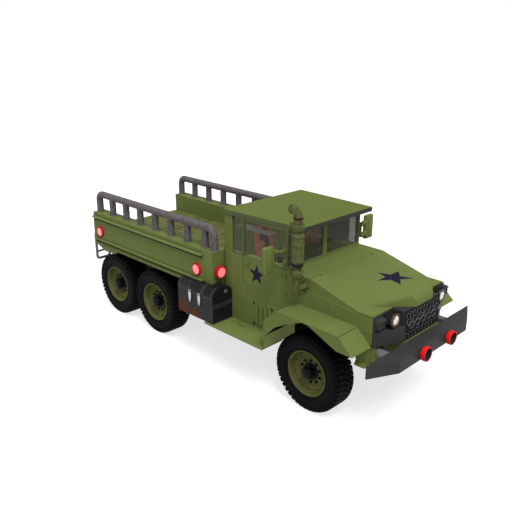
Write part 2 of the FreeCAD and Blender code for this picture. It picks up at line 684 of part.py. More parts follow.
def nose_edge(edge):
    """True for the edge where a flank meets the nose's slanted side."""
    ends = [v.Point for v in edge.Vertexes]
    if len(ends) != 2 or abs(ends[0].z - ends[1].z) < 5:
        return False
    low, high = sorted(ends, key=lambda q: q.x)
    at_rear = abs(low.x - HOOD_FRONT_X) < 30 or abs(low.x - HOOD_KNEE_X) < 30
    return at_rear and high.x > HOOD_FRONT_X - 5 and min(abs(low.y), abs(high.y)) > NOSE_FRONT_Y - 40


def flank(side, top):
    """What lies outside the plane between the level panel's edge and the crease of one side strip."""
    rear, front = COWL_FRONT, HOOD_ROLL_X
    drop = top - HOOD_FLAT_Z
    a = V(rear, side * HOOD_FLAT_REAR_Y, top)
    b = V(front, side * HOOD_FLAT_FRONT_Y, top)
    c = V(HOOD_KNEE_X, side * HOOD_CREASE_Y, HOOD_EDGE_FRONT_Z + drop)
    along = (b - a).normalize()
    down = (c - a - along * (c - a).dot(along)).normalize()
    corners = [a - along * 300 - down * 900, b + along * 500 - down * 900, b + along * 500 + down * 900,
               a - along * 300 + down * 900]
    outward = down.cross(along) if down.cross(along).z > 0 else along.cross(down)
    return Part.Face(Part.makePolygon(corners + corners[:1])).extrude(outward * 900)


NOSE_ROUND = 70.0            # radius along the nose's slanted edges


def hood():
    """Bonnet sheet: level middle, sloped flanks, side strips and a nose rolled down over the grille."""
    outer = hood_block(HOOD_FLAT_Z)
    inner = hood_block(HOOD_FLAT_Z - SHEET)
    inner.translate(V(-SHEET, 0, 0))
    sheet = outer.cut(inner)
    barrels = [hood_hinge(side)[1] for side in (-1, 1)]
    return fuse([sheet] + barrels)


def engine_side(side):
    """Side panel of the engine bay under the bonnet's edge."""
    top = DOOR_GAP + SHEET
    outline = [(COWL_FRONT + 1, SIDE_BOTTOM), (HOOD_FRONT_X, SIDE_BOTTOM),
               (HOOD_FRONT_X, HOOD_EDGE_FRONT_Z - top),
               (HOOD_KNEE_X, HOOD_EDGE_FRONT_Z - top), (COWL_FRONT + 1, HOOD_FLAT_Z - top)]
    return slab_xz(outline, side * (CAB_HALF - SHEET), side * CAB_HALF)


def fender(side):
    """Flat-topped fender with sloped ends, outer skirt and the wheel opening."""
    top = [(BOARD_FRONT, BOARD_TOP), (BOARD_FRONT, 1215), (1606, 1438), (2644, 1426), (2869, VALANCE_TOP)]
    inner_edge = [(2869 - 17, VALANCE_TOP), (2639, 1414), (1610, 1426), (BOARD_FRONT + FENDER_SHEET, 1209),
                  (BOARD_FRONT + FENDER_SHEET, BOARD_TOP)]
    skin = slab_xz(top + inner_edge, side * CAB_HALF, side * FENDER_HALF)
    skirt = slab_xz(top + [(2624, VALANCE_TOP), (2150, 1412), (2041, 1412), (1781, 1300), (1581, 1187),
                           (1383, 996),
                           (1383, BOARD_TOP)], side * (FENDER_HALF - FENDER_SHEET), side * FENDER_HALF)
    return fuse([skin, skirt])


def valance():
    """Flat plate between the grille, the fenders and the bumper."""
    return box(HOOD_FRONT_X - 14, BUMPER_BACK, -FENDER_HALF, FENDER_HALF, RAIL_TOP, VALANCE_TOP)


RECESS_BACK = HOOD_FRONT_X + 12
BROW_TOP = NOSE_LIP_Z - BODY_GAP
SHELF_Z = 1428.0


def lamp_panel(side):
    """Recess of one headlamp: swept lower panel, shelf, back wall, inner wall and the brow beside the nose."""
    x_in, y_in = GRILLE_X - 8, GRILLE_HALF
    x_out = RECESS_BACK + 8
    wall = 12.0
    face = [(x_out, CAB_HALF), (x_in, y_in), (x_in - 16, y_in), (x_out - 16, CAB_HALF)]
    floor = [(x_out, CAB_HALF), (x_in, y_in), (RECESS_BACK, y_in), (RECESS_BACK, CAB_HALF)]
    brow = [(RECESS_BACK, y_in + wall), (GRILLE_X - 30, y_in), (GRILLE_X - 30, NOSE_FRONT_Y - 60),
            (RECESS_BACK, y_in - 60)]
    pieces = [slab_xy([(x, side * y) for x, y in face], VALANCE_TOP, SHELF_Z),
              slab_xy([(x, side * y) for x, y in floor], SHELF_Z - wall, SHELF_Z),
              box(RECESS_BACK, RECESS_BACK + wall, side * y_in, side * CAB_HALF, VALANCE_TOP, BROW_TOP),
              box(RECESS_BACK, GRILLE_X - 22, side * y_in, side * (y_in + wall), VALANCE_TOP, BROW_TOP),
              slab_xy([(x, side * y) for x, y in brow], BROW_TOP - wall, BROW_TOP)]
    return fuse(pieces)


LAMP_Y = 567.0
LAMP_Z = 1545.0
LAMP_R = 86.0
LAMP_FRONT = 3036.0


def headlamp(side):
    """Round headlamp bucket on a short foot."""
    length = LAMP_FRONT - RECESS_BACK - 12
    body = turned([(0, 0), (0, LAMP_R - 26), (50, LAMP_R - 4), (length - 30, LAMP_R - 4),
                   (length - 30, LAMP_R),
                   (length - 12, LAMP_R), (length - 2, 40), (length, 0)],
                  (LAMP_FRONT - length, side * LAMP_Y, LAMP_Z), (1, 0, 0))
    foot = box(LAMP_FRONT - 110, LAMP_FRONT - 60, side * LAMP_Y - 22, side * LAMP_Y + 22, SHELF_Z,
               LAMP_Z - LAMP_R + 8)
    return fuse([body, foot])


def grille():
    """Radiator grille as one plate; its pattern is cut into a finer piece later."""
    return box(GRILLE_X - 22, GRILLE_X, -GRILLE_HALF, GRILLE_HALF, GRILLE_BOTTOM, GRILLE_TOP)


def radiator():
    """Radiator core behind the grille."""
    return box(2950, 3010, -380, 380, VALANCE_TOP, 1560)


# ---------------------------------------------------------------- boards, chest, tank, stack, mirrors
BRACKETS_X = (1290.0, 820.0, 200.0, -420.0)


def running_board(side):
    """Board under the door with the brackets that reach back to the frame rail."""
    pieces = [box(BOARD_REAR, BOARD_FRONT, side * CAB_HALF, side * BOARD_HALF, BOARD_TOP - BOARD_THICK,
                  BOARD_TOP)]
    low = BOARD_TOP - BOARD_THICK
    pieces.append(box(BRACKETS_X[-1] - 25, BOARD_REAR + 120, side * 900, side * 960, low - 40, low))
    for x in BRACKETS_X:
        half = 25
        if x < BOARD_REAR:
            pieces.append(box(x - half, x + half, side * RAIL_OUTER_Y, side * 1200, low, BOARD_TOP))
        if x == BRACKETS_X[0]:
            x -= 120
        pieces.append(box(x - half, x + half, side * RAIL_OUTER_Y, side * 1180, low - 40, low))
        pieces.append(box(x - half, x + half, side * RAIL_OUTER_Y, side * (RAIL_OUTER_Y + 30), low - 40,
                          1150))
    return fuse(pieces)


LID_RADIUS = 6.0
LID_FACE_Y = LID_HINGE_Y + LID_RADIUS + HINGE_GAP
LID_HINGES_X = (-440.0, 210.0)


def lid_hinge(x):
    """Hinge of the chest lid at one place along the crown."""
    centre = (x, -LID_HINGE_Y, LID_HINGE_Z)
    foot = (x, -LID_HINGE_Y + 8, CHEST_SEAM_Z - 2) if x < BED_FRONT else (x, -LID_HINGE_Y + 30,
                                                                          LID_HINGE_Z - 16)
    return hinge(centre, (1, 0, 0), LID_RADIUS, foot, (x, -LID_FACE_Y - 4, LID_HINGE_Z - 8))


def barrel_quarter(x0, x1, y_flat, y_seam, seam, shrink=0.0):
    """Quarter of the barrel top between a flat upright face and the seam."""
    out = 1 if y_seam > y_flat else -1
    bulge = y_seam - out * (38 + shrink)
    edges = [Part.LineSegment(V(x0, y_flat, seam), V(x0, y_flat, LID_TOP - shrink)).toShape(),
             Part.Arc(V(x0, y_flat, LID_TOP - shrink), V(x0, bulge, LID_TOP - 42 - shrink),
                      V(x0, y_seam, seam)).toShape(),
             Part.LineSegment(V(x0, y_seam, seam), V(x0, y_flat, seam)).toShape()]
    return Part.Face(Part.Wire(edges)).extrude(V(x1 - x0, 0, 0))


def chest_body():
    """Box with an open mouth under its lid, and the fixed quarter of the barrel top ahead of the bed."""
    w = CHEST_WALL
    shell = box(CHEST_REAR, CHEST_FRONT, -CHEST_OUTER, -CHEST_INNER, BOARD_TOP, CHEST_SEAM_Z)
    cavity = box(CHEST_REAR + w, CHEST_FRONT - w, -CHEST_OUTER + w, -CHEST_INNER - w, BOARD_TOP + w,
                 CHEST_SEAM_Z - w)
    mouth = box(CHEST_REAR + w, CHEST_FRONT - w, -CHEST_OUTER + w, -LID_FACE_Y - w, BOARD_TOP + w,
                CHEST_SEAM_Z + 1)
    top = barrel_quarter(BED_FRONT + 12, CHEST_FRONT, -LID_HINGE_Y + LID_RADIUS + HINGE_GAP, -CHEST_INNER,
                         CHEST_SEAM_Z)
    return fuse([shell.cut(cavity).cut(mouth), top] + [lid_hinge(x)[0] for x in LID_HINGES_X])


def chest_lid():
    """Outer half of the barrel top, hinged along its crown."""
    w = CHEST_WALL
    seam = CHEST_SEAM_Z + BODY_GAP
    solid = barrel_quarter(CHEST_REAR, CHEST_FRONT, -LID_FACE_Y, -CHEST_OUTER, seam)
    hollow = barrel_quarter(CHEST_REAR + w, CHEST_FRONT - w, -LID_FACE_Y - w, -CHEST_OUTER + w, seam - 1, w)
    return fuse([solid.cut(hollow)] + [lid_hinge(x)[1] for x in LID_HINGES_X])


def fuel_tank():
    """Fuel tank on the left, on the rear board brackets."""
    tank = box(-640, 100, 830, 1215, BOARD_TOP, 1195)
    long_edges = [e for e in tank.Edges if abs(e.tangentAt(e.FirstParameter).x) > 0.9]
    tank = tank.makeFillet(45, long_edges)
    neck = rod((-60, 1140, 1000), (-60, 1250, 1090), 38)
    return fuse([tank, neck])


def exhaust_stack():
    """Pipe out of the engine bay, muffler and a curved tail above the roof."""
    wall_y = -CAB_HALF
    lower = bent_tube([(STACK_X, wall_y, 1680), (STACK_X, STACK_Y, 1680), (STACK_X, STACK_Y, 2100)], 80,
                      STACK_R)
    muffler = turned([(0, 0), (0, 80), (30, MUFFLER_R), (400, MUFFLER_R), (430, 80), (430, 0)],
                     (STACK_X, STACK_Y, 2075), (0, 0, 1))
    upper = bent_tube([(STACK_X, STACK_Y, 2480), (STACK_X, STACK_Y, 2800),
                       (STACK_X - 150, STACK_Y, 2800)], 100,
                      STACK_R)
    hollow = rod((STACK_X - 151, STACK_Y, 2800), (STACK_X - 110, STACK_Y, 2800), STACK_R - 8)
    collars = [rod((STACK_X, STACK_Y, z), (STACK_X, STACK_Y, z + 70), STACK_R + 14) for z in (1860, 2530)]
    clamp = box(STACK_X - 25, STACK_X + 25, wall_y, STACK_Y, 1800, 1840)
    return fuse([lower, muffler, upper, clamp] + collars).cut(hollow)


def mirror(side):
    """Tall mirror head on two arms from the windscreen pillar."""
    head = box(1300, 1380, side * 1055, side * 1245, 1868, 2260)
    arms = []
    for z in (2170, 1990):
        arms.append(bent_tube([(SCREEN_X - 5, side * (CAB_HALF + 4), z), (SCREEN_X - 5, side * 950, z),
                               (1345, side * 1070, z)], 30, 13))
    pad = box(SCREEN_X - 34, SCREEN_X, side * CAB_HALF, side * (CAB_HALF + 8), 1960, 2200)
    return fuse([head, pad] + arms)


# ---------------------------------------------------------------- cargo bed
def bed_floor():
    """Floor plate on bearers and two long sills that sit on the frame rails."""
    inner = BED_HALF - BED_WALL
    pieces = [box(BED_REAR, BED_FRONT - HEADBOARD, -inner, inner, BED_FLOOR_TOP - BED_FLOOR_THICK,
                  BED_FLOOR_TOP)]
    for side in (-1, 1):
        pieces.append(box(BED_REAR + 60, BED_FRONT - HEADBOARD, side * RAIL_OUTER_Y,
                          side * (RAIL_OUTER_Y - RAIL_WIDTH),
                          RAIL_TOP, 1330))
    count = 7
    pitch = (BED_FRONT - HEADBOARD - BED_REAR - 120) / (count - 1)
    for i in range(count):
        x = BED_REAR + 60 + pitch * i
        pieces.append(box(x - 40, x + 40, -inner, inner, 1330, BED_FLOOR_TOP - BED_FLOOR_THICK))
    return Part.makeCompound(pieces)


def bed_side(side):
    """Deep side wall of the bed."""
    return box(BED_REAR, BED_FRONT, side * (BED_HALF - BED_WALL), side * BED_HALF, BED_BOTTOM, BED_TOP)


def headboard():
    """Front wall of the bed between the side walls."""
    inner = BED_HALF - BED_WALL
    return box(BED_FRONT - HEADBOARD, BED_FRONT, -inner, inner, BED_BOTTOM, BED_TOP)


RAIL_REAR_X = -3160.0
RAIL_FRONT_X = 36.0
UPRIGHTS = 8
UPRIGHT_PITCH = 426.5


def bed_rail(side):
    """Tube rail on the side wall: bent ends and uprights between them."""
    y = side * RAIL_TUBE_Y
    hoop = bent_tube([(RAIL_REAR_X, y, BED_TOP), (RAIL_REAR_X, y, RAIL_TUBE_Z),
                      (RAIL_FRONT_X, y, RAIL_TUBE_Z),
                      (RAIL_FRONT_X, y, BED_TOP)], 110, RAIL_TUBE_R)
    pieces = [hoop]
    for i in range(1, UPRIGHTS):
        x = RAIL_REAR_X + UPRIGHT_PITCH * i
        pieces.append(rod((x, y, BED_TOP), (x, y, RAIL_TUBE_Z), RAIL_TUBE_R - 4))
    return fuse(pieces)


MARKER_R = 84.0
MARKER_BASE_R = 106.0
MARKER_DEPTH = 40.0
BUCKET_DEPTH = 50.0


def marker_lamp(foot, outward):
    """One lamp: a cup that narrows from its foot on the panel to the lens."""
    return Part.makeCone(MARKER_BASE_R, MARKER_R, MARKER_DEPTH, V(*foot), V(*outward))


def marker_lamps():
    """Round red lamps on the bed's sides, front wall and rear."""
    lamps = []
    for side in (-1, 1):
        for x in (-246, -3019):
            lamps.append(marker_lamp((x, side * BED_HALF, 1507), (0, side, 0)))
        bucket = rod((BED_FRONT, side * 960, 1532), (BED_FRONT + BUCKET_DEPTH, side * 960, 1532), MARKER_R)
        lamps.append(bucket.fuse(marker_lamp((BED_FRONT + BUCKET_DEPTH, side * 960, 1532), (1, 0, 0))))
        lamps.append(marker_lamp((BED_REAR, side * 958, 1560), (-1, 0, 0)))
    return Part.makeCompound(lamps)


def rear_ladder():
    """Tube step that hangs behind the right rear corner."""
    r = 19
    x_top = BED_REAR - 22
    x_low = REAR_END + r
    y_out, y_in = -1060, -735
    hoop = bent_tube([(x_top, y_out, 1400), (x_low, y_out + 60, 870), (x_low, y_in, 870), (x_top, y_in, 1400)],
                     60, r)
    share = (1400 - 1030) / (1400 - 870)
    x_rung = x_top + (x_low - x_top) * share
    rung = rod((x_rung, y_out + 60 * share + 8, 1030), (x_rung, y_in - 8, 1030), r - 4)
    lugs = [box(BED_REAR, x_top, y - 24, y + 24, 1360, 1440) for y in (y_out, y_in)]
    return fuse([hoop, rung] + lugs)


# ---------------------------------------------------------------- build
def build():
    """Make every piece and write one STEP file for each."""
    add("chassis_frame", chassis_frame())
    add("leaf_springs", leaf_springs())
    add("front_axle", front_axle())
    add("engine", engine())
    add("driveline", driveline())
    add("bumper", bumper())
    add("tow_rings", both_sides(tow_ring(1)))
    wheels = [("front", FRONT_AXLE_X)] + list(REAR_AXLES.items())
    for side, word in ((-1, "right"), (1, "left")):
        add("knuckle_" + word, knuckle(side))
        for place, x in wheels:
            add("tyre_%s_%s" % (place, word), tyre(x, side))
            add("rim_%s_%s" % (place, word), rim(x, side))
        add("door_" + word, door(side))
        add("door_glass_" + word, door_glass(side))
        add("fender_" + word, fender(side))
    for place, x in REAR_AXLES.items():
        add(place + "_axle", rear_axle(x))
    add("cab_tub", cab_tub())
    add("cab_back", cab_back())
    add("cowl", cowl())
    add("windscreen_frame", windscreen_frame())
    add("cab_glass", cab_glass())
    add("roof", roof())
    add("seats", both_sides(seat(1)))
    add("dashboard", fuse([dashboard(), steering_column()]))
    add("steering_wheel", steering_wheel())
    add("hood", hood())
    add("engine_sides", both_sides(engine_side(1)))
    add("valance", valance())
    add("lamp_panels", both_sides(lamp_panel(1)))
    add("headlamps", both_sides(headlamp(1)))
    add("grille", grille())
    add("radiator", radiator())
    add("running_boards", both_sides(running_board(1)))
    add("chest_body", chest_body())
    add("chest_lid", chest_lid())
    add("fuel_tank", fuel_tank())
    add("exhaust_stack", exhaust_stack())
    add("mirrors", both_sides(mirror(1)))
    add("bed_floor", bed_floor())
    add("bed_sides", both_sides(bed_side(1)))
    add("headboard", headboard())
    add("bed_rails", both_sides(bed_rail(1)))
    add("marker_lamps", marker_lamps())
    add("rear_ladder", rear_ladder())
    os.makedirs("parts", exist_ok=True)
    for name, shape in PARTS.items():
        shape.exportStep("parts/%s.step" % name)
        bounds = shape.BoundBox
        print("%-18s solids %d valid %s volume %.4f m3  x %.0f..%.0f y %.0f..%.0f z %.0f..%.0f" % (
            name, len(shape.Solids), shape.isValid(), shape.Volume / 1e9, bounds.XMin, bounds.XMax,
                                                                                                   bounds.YMin,
            bounds.YMax, bounds.ZMin, bounds.ZMax))


build()
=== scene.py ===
"""Looks of a six-wheel military cargo truck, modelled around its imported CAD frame."""
import logging
import math
from dataclasses import dataclass, field
from enum import Enum
from typing import Callable, Iterable, Optional, Sequence, Union

import bmesh
import bpy
from mathutils import Matrix, Vector


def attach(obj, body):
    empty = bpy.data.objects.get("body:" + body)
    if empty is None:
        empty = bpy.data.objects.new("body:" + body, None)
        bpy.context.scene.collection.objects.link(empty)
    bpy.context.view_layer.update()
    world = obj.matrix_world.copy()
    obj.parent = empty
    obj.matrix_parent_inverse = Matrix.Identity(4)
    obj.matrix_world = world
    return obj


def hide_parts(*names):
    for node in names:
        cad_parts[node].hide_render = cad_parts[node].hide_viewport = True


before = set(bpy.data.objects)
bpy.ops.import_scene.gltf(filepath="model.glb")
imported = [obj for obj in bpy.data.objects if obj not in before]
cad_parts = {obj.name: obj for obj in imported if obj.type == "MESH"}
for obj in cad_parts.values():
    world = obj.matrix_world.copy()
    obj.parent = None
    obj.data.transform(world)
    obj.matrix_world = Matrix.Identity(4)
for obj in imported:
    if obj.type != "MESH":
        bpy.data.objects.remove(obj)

LOG = logging.getLogger("truck")
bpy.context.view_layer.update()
SIDES = (("right", -1), ("left", 1))
ROOT = "chassis"

Point = Sequence[float]
Colour = tuple[float, float, float]

ORIGIN = (0, 0, 0)
AHEAD = (1, 0, 0)
OUT = (0, -1, 0)  # away from the middle on the right-hand side, where paired pieces are made
UP = (0, 0, 1)
WELD = 0.00002  # vertices closer than this become one
SILL_Z = 1.862  # lower edge of the doors' panes
VENT_BAR_X = 1.21  # bar between a door's main pane and its vent pane
SCREEN_X = 1.33  # everything ahead of this is windscreen
SCREEN_HALF = 0.81
MIRROR = Matrix.Scale(-1, 4, (0, 1, 0))


# ------------------------------------------------------------------ shading
def operator(operation: str, swap: bool = False) -> Callable[..., "Sock"]:
    """Method of a Sock that adds one kind of Math node; swap puts the Sock itself second."""

    def method(self: "Sock", *others: "Value") -> "Sock":
        """Result of the node."""
        return self.math(operation, *others, swap=swap)

    return method


class Sock:
    """One shader value. Python's operators on it add the matching Math nodes."""

    def __init__(self, graph: "Graph", socket: bpy.types.NodeSocket) -> None:
        """Keep the graph and the output socket that carries the value."""
        self.graph = graph
        self.socket = socket

    def math(self, operation: str, *others: "Value", swap: bool = False) -> "Sock":
        """Add one Math node.

        Args:
            operation: Name of the Math node's operation.
            others: Further operands.
            swap: Puts this value second.

        Returns:
            The node's result.
        """
        operands = [self, *others]
        if swap:
            operands.reverse()
        node = self.graph.add("ShaderNodeMath", {"operation": operation}, dict(enumerate(operands)))
        return Sock(self.graph, node.outputs[0])

    __add__, __radd__ = operator("ADD"), operator("ADD", swap=True)
    __sub__, __rsub__ = operator("SUBTRACT"), operator("SUBTRACT", swap=True)
    __mul__, __truediv__ = operator("MULTIPLY"), operator("DIVIDE")
    __mod__, __abs__ = operator("FLOORED_MODULO"), operator("ABSOLUTE")
    __lt__, __gt__ = operator("LESS_THAN"), operator("GREATER_THAN")
    most = operator("MAXIMUM")


Value = Union[Sock, float, Sequence[float]]


class Graph:
    """A material's node tree, built from Python expressions."""

    def __init__(self, name: str) -> None:
        """Start an empty material with a Principled shader and an output."""
        self.material = bpy.data.materials.new(name)
        self.material.use_nodes = True
        self.tree = self.material.node_tree
        self.tree.nodes.clear()
        self.output = self.add("ShaderNodeOutputMaterial")
        self.shader = self.add("ShaderNodeBsdfPrincipled")
        self.link(self.shader.outputs[0], self.output.inputs[0])
        self.place = Sock(self, self.add("ShaderNodeTexCoord").outputs["Object"])

    def link(self, source: bpy.types.NodeSocket, target: bpy.types.NodeSocket) -> None:
        """Join two sockets."""
        self.tree.links.new(source, target)

    def add(self, kind: str, settings: Optional[dict] = None,
            inputs: Optional[dict] = None) -> bpy.types.Node:
        """Add one node.

        Args:
            kind: Blender's node type.
            settings: Node properties, set first; "stops" holds a ramp's (place, colour) pairs.
            inputs: Socket name or index to a value or a link.

        Returns:
            The node.
        """
        node = self.tree.nodes.new(kind)
        for name, value in (settings or {}).items():
            if name == "stops":
                for index, (place, colour) in enumerate(value):
                    stop = (node.color_ramp.elements[index] if index < 2
                            else node.color_ramp.elements.new(place))
                    stop.position = place
                    stop.color = (*colour, 1)
            else:
                setattr(node, name, value)
        for name, value in (inputs or {}).items():
            self.feed(node.inputs[name], value)
        return node

    def feed(self, socket: bpy.types.NodeSocket, value: Value) -> None:
        """Link a value to an input, or set it there; a colour gets its alpha."""
        if isinstance(value, Sock):
            self.link(value.socket, socket)
        else:
            socket.default_value = (*value, 1) if socket.type == "RGBA" else value

    def xyz(self, centre: Point = (0, 0, 0)) -> tuple[Sock, Sock, Sock]:
        """Object coordinates measured from a centre."""
        moved = self.add("ShaderNodeVectorMath", {"operation": "SUBTRACT"}, {0: self.place, 1: centre})
        parts = self.add("ShaderNodeSeparateXYZ", inputs={0: Sock(self, moved.outputs[0])})
        return tuple(Sock(self, out) for out in parts.outputs)

    def noise(self, scale: float, detail: float = 3.0, roughness: float = 0.55,
              stretch: Point = (1, 1, 1)) -> Sock:
        """Fractal noise on object coordinates, with each axis stretched."""
        placed = self.add("ShaderNodeMapping", inputs={"Vector": self.place, "Scale": stretch})
        node = self.add("ShaderNodeTexNoise", {}, {"Vector": Sock(self, placed.outputs[0]), "Scale": scale,
                                                   "Detail": detail, "Roughness": roughness})
        return Sock(self, node.outputs[0])

    def cells(self, scale: float) -> Sock:
        """Distance to the nearest cell's middle, on object coordinates."""
        placed = self.add("ShaderNodeMapping", inputs={"Vector": self.place, "Scale": (1, 1, 1)})
        node = self.add("ShaderNodeTexVoronoi", {}, {"Vector": Sock(self, placed.outputs[0]), "Scale": scale})
        return Sock(self, node.outputs["Distance"])

    def ease(self, value: Sock, low: float, high: float, start: float = 0.0, end: float = 1.0) -> Sock:
        """Smooth step of a value from low to high."""
        node = self.add("ShaderNodeMapRange", {"interpolation_type": "SMOOTHSTEP"},
                        {0: value, 1: low, 2: high, 3: start, 4: end})
        return Sock(self, node.outputs[0])

    def blend(self, factor: Value, first: Value, second: Value, mode: str = "MIX") -> Sock:
        """Mix two colours."""
        node = self.add("ShaderNodeMix", {"data_type": "RGBA", "blend_type": mode},
                        {0: factor, 6: first, 7: second})
        return Sock(self, node.outputs[2])

    def dim(self, colour: Value, red: Sock, green: Sock, blue: Sock) -> Sock:
        """Colour with each channel multiplied by a value."""
        shade = self.add("ShaderNodeCombineColor", {}, {0: red, 1: green, 2: blue})
        return self.blend(1.0, colour, Sock(self, shade.outputs[0]), "MULTIPLY")

    def set(self, **sockets: Value) -> None:
        """Feed the Principled shader; an underscore in a name stands for a space."""
        for name, value in sockets.items():
            self.feed(self.shader.inputs[name.replace("_", " ")], value)

    def bump(self, height: Sock, depth: float, strength: float = 1.0) -> None:
        """Feed a height to the shader's normal; depth is in metres."""
        node = self.add("ShaderNodeBump", {}, {"Strength": strength, "Distance": depth, "Height": height})
        self.link(node.outputs[0], self.shader.inputs["Normal"])


@dataclass(frozen=True)
class Star:
    """Five-pointed star painted on a flat panel.

    Attributes:
        centre: Middle of the star in the row frame.
        across: Axis index that runs to the star's right.
        upward: Axis index that the first tip points along.
        flip: Sign of the upward direction.
        radius: Distance from the middle to a tip.
        stretch: Factor on the upward coordinate, above 1 for a flatter star.
        waist: Inner corners' distance as a share of the radius.
        colour: Paint of the star.
    """

    centre: tuple[float, float, float]
    across: int
    upward: int
    flip: int
    radius: float
    stretch: float = 1.0
    waist: float = 0.40
    colour: Colour = (0.020, 0.014, 0.034)

    def mask(self, graph: Graph) -> Sock:
        """1 inside the star, 0 outside, worked out from object coordinates."""
        axes = graph.xyz(self.centre)
        u, v = axes[self.across], axes[self.upward] * (self.flip * self.stretch)
        sector = 2 * math.pi / 5
        turn = (u.math("ARCTAN2", v) + sector / 2) % sector - sector / 2
        reach = (u * u + v * v).math("SQRT")
        fold = abs(turn)
        x, y = reach * fold.math("COSINE"), reach * fold.math("SINE")
        tip = self.radius
        inner = (self.waist * tip * math.cos(sector / 2), self.waist * tip * math.sin(sector / 2))
        edge = (inner[0] - tip, inner[1])
        side = (x - tip) * edge[1] - y * edge[0]
        return graph.ease(side / math.hypot(*edge), 0.0015, -0.0015)


@dataclass(frozen=True)
class Paint:
    """Service paint on sheet metal: slightly uneven tone, fine texture, dust low down.

    Attributes:
        name: Material's name.
        colour: Paint's colour.
        roughness: Mean roughness.
        mottle: Strength of the slow tone change.
        grain: Depth of the fine texture in metres.
        dust: Share of dust on the lowest parts.
        stars: Stars painted over it.
        shine: Strength of the sheen.
        glow: Strength of its own light, for what stands in the cab's half-dark.
    """

    name: str
    colour: Colour
    roughness: float = 0.5
    mottle: float = 0.10
    grain: float = 0.0004
    dust: float = 0.10
    stars: tuple[Star, ...] = ()
    shine: float = 0.04
    glow: float = 0.0

    def material(self) -> bpy.types.Material:
        """Build the material."""
        g = Graph(self.name)
        slow = g.noise(1.3, 4)
        fine = g.noise(38, 3)
        shade = 1 - self.mottle + (slow * 1.4 + fine * 0.6) * self.mottle
        tone = g.dim(self.colour, shade, shade, shade * 0.97)
        height = g.xyz()[2]
        low = g.ease(height, 1.15, 0.35) * g.ease(fine, 0.35, 0.7) * self.dust
        tone = g.blend(low, tone, (0.17, 0.14, 0.09))
        for star in self.stars:
            tone = g.blend(star.mask(g), tone, star.colour)
        g.set(Base_Color=tone, Specular_IOR_Level=self.shine, Emission_Color=self.colour,
              Emission_Strength=self.glow, Roughness=g.ease(slow + fine * 0.4, 0.4, 1.0,
                                                            self.roughness - 0.07, self.roughness + 0.10))
        g.bump(g.noise(260, 2) + slow * 0.5, self.grain, 0.5)
        return g.material


@dataclass(frozen=True)
class Rusted:
    """Painted metal with rust showing through in patches.

    Attributes:
        name: Material's name.
        colour: Paint's colour.
        second: Paint's other tone, in blotches.
        rust: Rust's colour.
        amount: Share of rust, from 0 to 1.
        scale: Patches per metre.
        roughness: Roughness of the paint.
        metallic: Metallic share of the paint.
        stretch: Factors on the pattern along each axis.
        patches: Centres and radii of places where rust gathers.
    """

    name: str
    colour: Colour
    second: Colour
    rust: Colour = (0.155, 0.052, 0.022)
    amount: float = 0.35
    scale: float = 7.0
    roughness: float = 0.6
    metallic: float = 0.0
    stretch: tuple[float, float, float] = (1, 1, 1)
    patches: tuple[tuple[float, float, float, float], ...] = ()

    def material(self) -> bpy.types.Material:
        """Build the material."""
        g = Graph(self.name)
        blotch = g.noise(self.scale, 5, 0.6, self.stretch)
        fine = g.noise(self.scale * 7, 4, 0.6, self.stretch)
        tone = g.blend(g.ease(blotch, 0.40, 0.62), self.colour, self.second)
        tone = g.blend(g.ease(fine, 0.35, 0.75) * 0.5, tone, tuple(c * 0.55 for c in self.colour))
        other = g.noise(self.scale * 1.7, 5, 0.65, tuple(s * 1.3 for s in self.stretch))
        rust = g.ease(other + fine * 0.25, 0.80 - 0.35 * self.amount, 0.92 - 0.35 * self.amount)
        for x, y, z, radius in self.patches:
            px, py, pz = g.xyz((x, y, z))
            away = (px * px + py * py + pz * pz).math("SQRT") + (other - 0.5) * radius
            rust = rust.most(g.ease(away, radius, radius * 0.55))
        tone = g.blend(rust * g.ease(fine, 0.2, 0.6, 0.6, 1.0), tone, self.rust)
        g.set(Base_Color=tone, Roughness=g.ease(rust, 0, 1, self.roughness, 0.88),
              Metallic=(1 - rust) * self.metallic, Specular_IOR_Level=0.15)
        g.bump(fine * 0.7 + rust * 0.6, 0.0012, 0.6)
        return g.material


@dataclass(frozen=True)
class Rubber:
    """Tyre rubber with blotches of dust.

    Attributes:
        name: Material's name.
        colour: Rubber's colour.
        dust: Dust's colour.
    """

    name: str
    colour: Colour = (0.0036, 0.0035, 0.0044)
    dust: Colour = (0.020, 0.019, 0.018)

    def material(self) -> bpy.types.Material:
        """Build the material."""
        g = Graph(self.name)
        fine, slow = g.noise(55, 4), g.noise(4, 4)
        g.set(Base_Color=g.blend(g.ease(slow * 0.6 + fine * 0.5, 0.5, 0.85) * 0.30, self.colour, self.dust),
              Roughness=g.ease(fine, 0.3, 0.7, 0.55, 0.75), Specular_IOR_Level=0.05)
        g.bump(fine, 0.0012, 0.6)
        return g.material


@dataclass(frozen=True)
class Metal:
    """Bare or plated metal.

    Attributes:
        name: Material's name.
        colour: Metal's colour.
        roughness: Mean roughness.
        metallic: Metallic share where it is clean.
        grime: Share of grime in blotches.
        grime_colour: Grime's colour.
        scale: Blotches per metre.
        shine: Strength of the sheen.
    """

    name: str
    colour: Colour
    roughness: float = 0.35
    metallic: float = 1.0
    grime: float = 0.3
    grime_colour: Colour = (0.03, 0.026, 0.022)
    scale: float = 14.0
    shine: float = 0.5

    def material(self) -> bpy.types.Material:
        """Build the material."""
        g = Graph(self.name)
        blotch, fine = g.noise(self.scale, 5, 0.6), g.noise(120, 3)
        dirt = g.ease(blotch + fine * 0.2, 0.50, 0.75) * self.grime
        g.set(Base_Color=g.blend(dirt, self.colour, self.grime_colour), Metallic=(1 - dirt) * self.metallic,
              Specular_IOR_Level=self.shine,
              Roughness=g.ease(blotch, 0.3, 0.8, self.roughness, min(0.95, self.roughness + 0.25)))
        g.bump(fine + blotch, 0.0006, 0.5)
        return g.material


